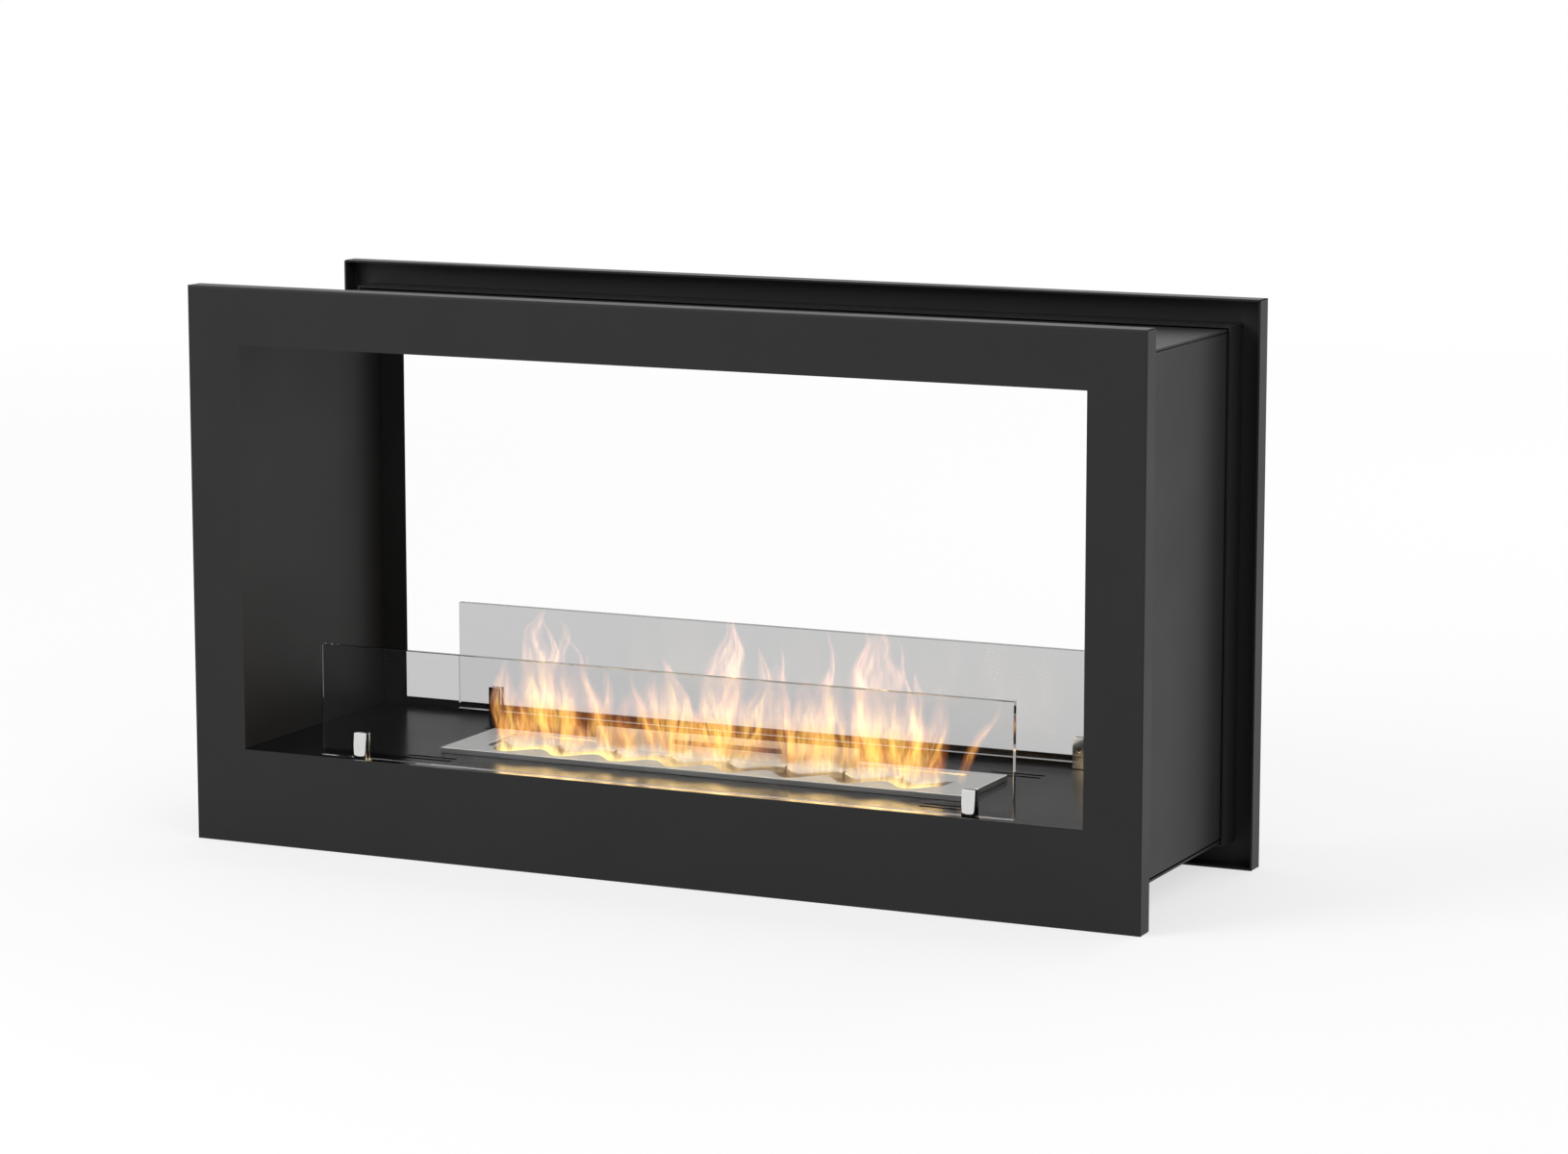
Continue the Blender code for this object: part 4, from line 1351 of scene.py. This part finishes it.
    @staticmethod
    def cells_of(points: Array) -> Array:
        """Mark the grid cells that touch marked points."""
        return points[:-1, :-1] | points[1:, :-1] | points[:-1, 1:] | points[1:, 1:]

    def curtain_mesh(self, curtain: Curtain) -> Mesh:
        """Build a curtain: two layers over one grid of x and z that meet wherever the glow ends.

        The middle surface is y = depth + wave, where the wave dies out with height as
        exp(-rise / fade). The layers stand apart by the thickness times the glow's root.

        Args:
            curtain: The curtain.

        Returns:
            The mesh, with the glow as a point attribute.
        """
        x, z = np.meshgrid(np.arange(self.low_x, self.high_x, self.step_x),
                           np.arange(self.root_z, self.high_z, self.step_z), indexing="ij")
        glow = self.glow_field(curtain, x, z)
        apart = self.corners_of(self.cells_of(glow > self.threshold), every=True)
        cells = self.cells_of(apart)
        used = self.corners_of(cells, every=False)
        glow = np.where(apart, glow, 0)
        rise = z - self.flange_z
        wave = self.wave.y(x, curtain.depth_y) - curtain.depth_y
        swayed = np.clip(rise, 0, self.bend_height) * self.ripple(x / 2, z / 2, curtain.seed + 3)
        middle = (curtain.depth_y + wave * np.exp(-np.maximum(rise, 0) / self.wave_fade)
                  + self.sway_share * swayed)
        half = self.thickness / 2 * np.sqrt(glow)
        near_number = np.cumsum(used).reshape(used.shape) - 1
        far_number = np.where(apart, np.cumsum(apart).reshape(used.shape) - 1 + used.sum(), near_number)
        near = np.column_stack([x[used], (middle - half)[used], z[used]])
        far = np.column_stack([x[apart], (middle + half)[apart], z[apart]])
        i, j = np.nonzero(cells)
        corners = [(i, j), (i + 1, j), (i + 1, j + 1), (i, j + 1)]
        near_faces = np.column_stack([near_number[c] for c in corners])
        far_faces = np.column_stack([far_number[c] for c in corners[::-1]])
        mesh = bpy.data.meshes.new(curtain.name)
        mesh.from_pydata(np.vstack([near, far]).tolist(), [],
                         np.vstack([near_faces, far_faces]).tolist())
        attribute = mesh.attributes.new("glow", "FLOAT", "POINT")
        attribute.data.foreach_set("value", np.concatenate([glow[used], glow[apart]]))
        mesh.shade_smooth()
        return mesh

    def build(self, workshop: Workshop) -> list[str]:
        """Build the curtains, which ride on the burner.

        Args:
            workshop: Holds the materials.

        Returns:
            The names of the pieces.
        """
        for curtain in CURTAINS:
            piece = workshop.add_piece(curtain.name, self.curtain_mesh(curtain), Body.BURNER)
            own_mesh(piece)
        return [curtain.name for curtain in CURTAINS]


# Studio


@dataclass(frozen=True)
class Lamp:
    """A square soft lamp that faces the object's middle."""

    name: str
    place: tuple[float, float, float]
    watts: float
    side: float = 2.6

    def build(self) -> None:
        """Hang the lamp."""
        light = bpy.data.lights.new(self.name, "AREA")
        light.shape, light.size, light.energy = "SQUARE", self.side, self.watts
        lamp = bpy.data.objects.new(self.name, light)
        lamp.location = self.place
        middle = sum((Vector(corner) for corner in CAD_BOX), Vector()) / 2
        lamp.rotation_euler = (middle - lamp.location).to_track_quat("-Z", "Y").to_euler()
        bpy.context.scene.collection.objects.link(lamp)


@dataclass(frozen=True)
class Studio:
    """The white floor, the plain soft light and the camera at the photograph's viewing angle."""

    floor_reach: float = 45.0
    world_level: float = 0.62
    lamps: tuple[Lamp, ...] = (
        Lamp("key_lamp", (-2.7, -3.5, 3.0), 110),
        Lamp("fill_lamp", (3.1, -2.5, 2.2), 26),
        Lamp("back_lamp", (0.6, 3.6, 3.0), 40),
    )
    camera_place: tuple[float, float, float] = (1.9513, -4.0169, 0.9827)
    camera_yaw: float = math.radians(25.118)
    camera_pitch: float = math.radians(9.025)
    camera_lens_mm: float = 106.791
    camera_reach: tuple[float, float] = (0.05, 200.0)
    sensor_mm: float = 36.0

    def build_floor(self) -> None:
        """Add the floor as one large sheet under the object."""
        reach = self.floor_reach
        mesh = bpy.data.meshes.new("studio_floor")
        corners = [(-reach, -reach, 0), (reach, -reach, 0), (reach, reach, 0), (-reach, reach, 0)]
        mesh.from_pydata(corners, [], [(0, 1, 2, 3)])
        mesh.materials.append(FLOOR.build())
        floor = bpy.data.objects.new("studio_floor", mesh)
        bpy.context.scene.collection.objects.link(floor)

    def build_world(self) -> None:
        """Set a world that shows as white and lights the object softly from all round."""
        world = bpy.data.worlds.new("white_studio")
        nodes = Nodes(world)
        path = nodes.path()
        seen = nodes.math("MAXIMUM", path["Is Camera Ray"], path["Is Glossy Ray"])
        shown = nodes.math("MAXIMUM", seen, path["Is Transmission Ray"])
        strength = nodes.ranged(shown, (0.0, 1.0), (self.world_level, 1.0))
        background = nodes.add("Background", {"Color": WHITE, "Strength": strength})
        nodes.add("OutputWorld", {"Surface": background.outputs["Background"]})
        bpy.context.scene.world = world

    def build_camera(self) -> None:
        """Set up the camera."""
        data = bpy.data.cameras.new("camera")
        data.sensor_fit = "HORIZONTAL"
        data.sensor_width = self.sensor_mm
        data.lens = self.camera_lens_mm
        data.clip_start, data.clip_end = self.camera_reach
        camera = bpy.data.objects.new("camera", data)
        camera.location = self.camera_place
        camera.rotation_euler = (math.pi / 2 - self.camera_pitch, 0, self.camera_yaw)
        bpy.context.scene.collection.objects.link(camera)
        bpy.context.scene.camera = camera

    def build(self) -> None:
        """Build the studio."""
        self.build_floor()
        self.build_world()
        for lamp in self.lamps:
            lamp.build()
        self.build_camera()
        bpy.context.scene.view_settings.view_transform = "Standard"


def main() -> None:
    """Build and dress every piece, then set the light and the camera."""
    logging.basicConfig(level=logging.INFO, format="%(name)s: %(message)s")
    workshop = Workshop()
    wave = Wave()
    for part in (Casework(), Burner(wave), Slider(wave), Screens(), Fire(wave)):
        for name in part.build(workshop):
            LOG.info("%s: %s", type(part).__name__, name)
    if workshop.waiting:
        raise ValueError(f"nodes without a finish: {sorted(workshop.waiting)}")
    Studio().build()


if __name__ == "__main__":
    main()
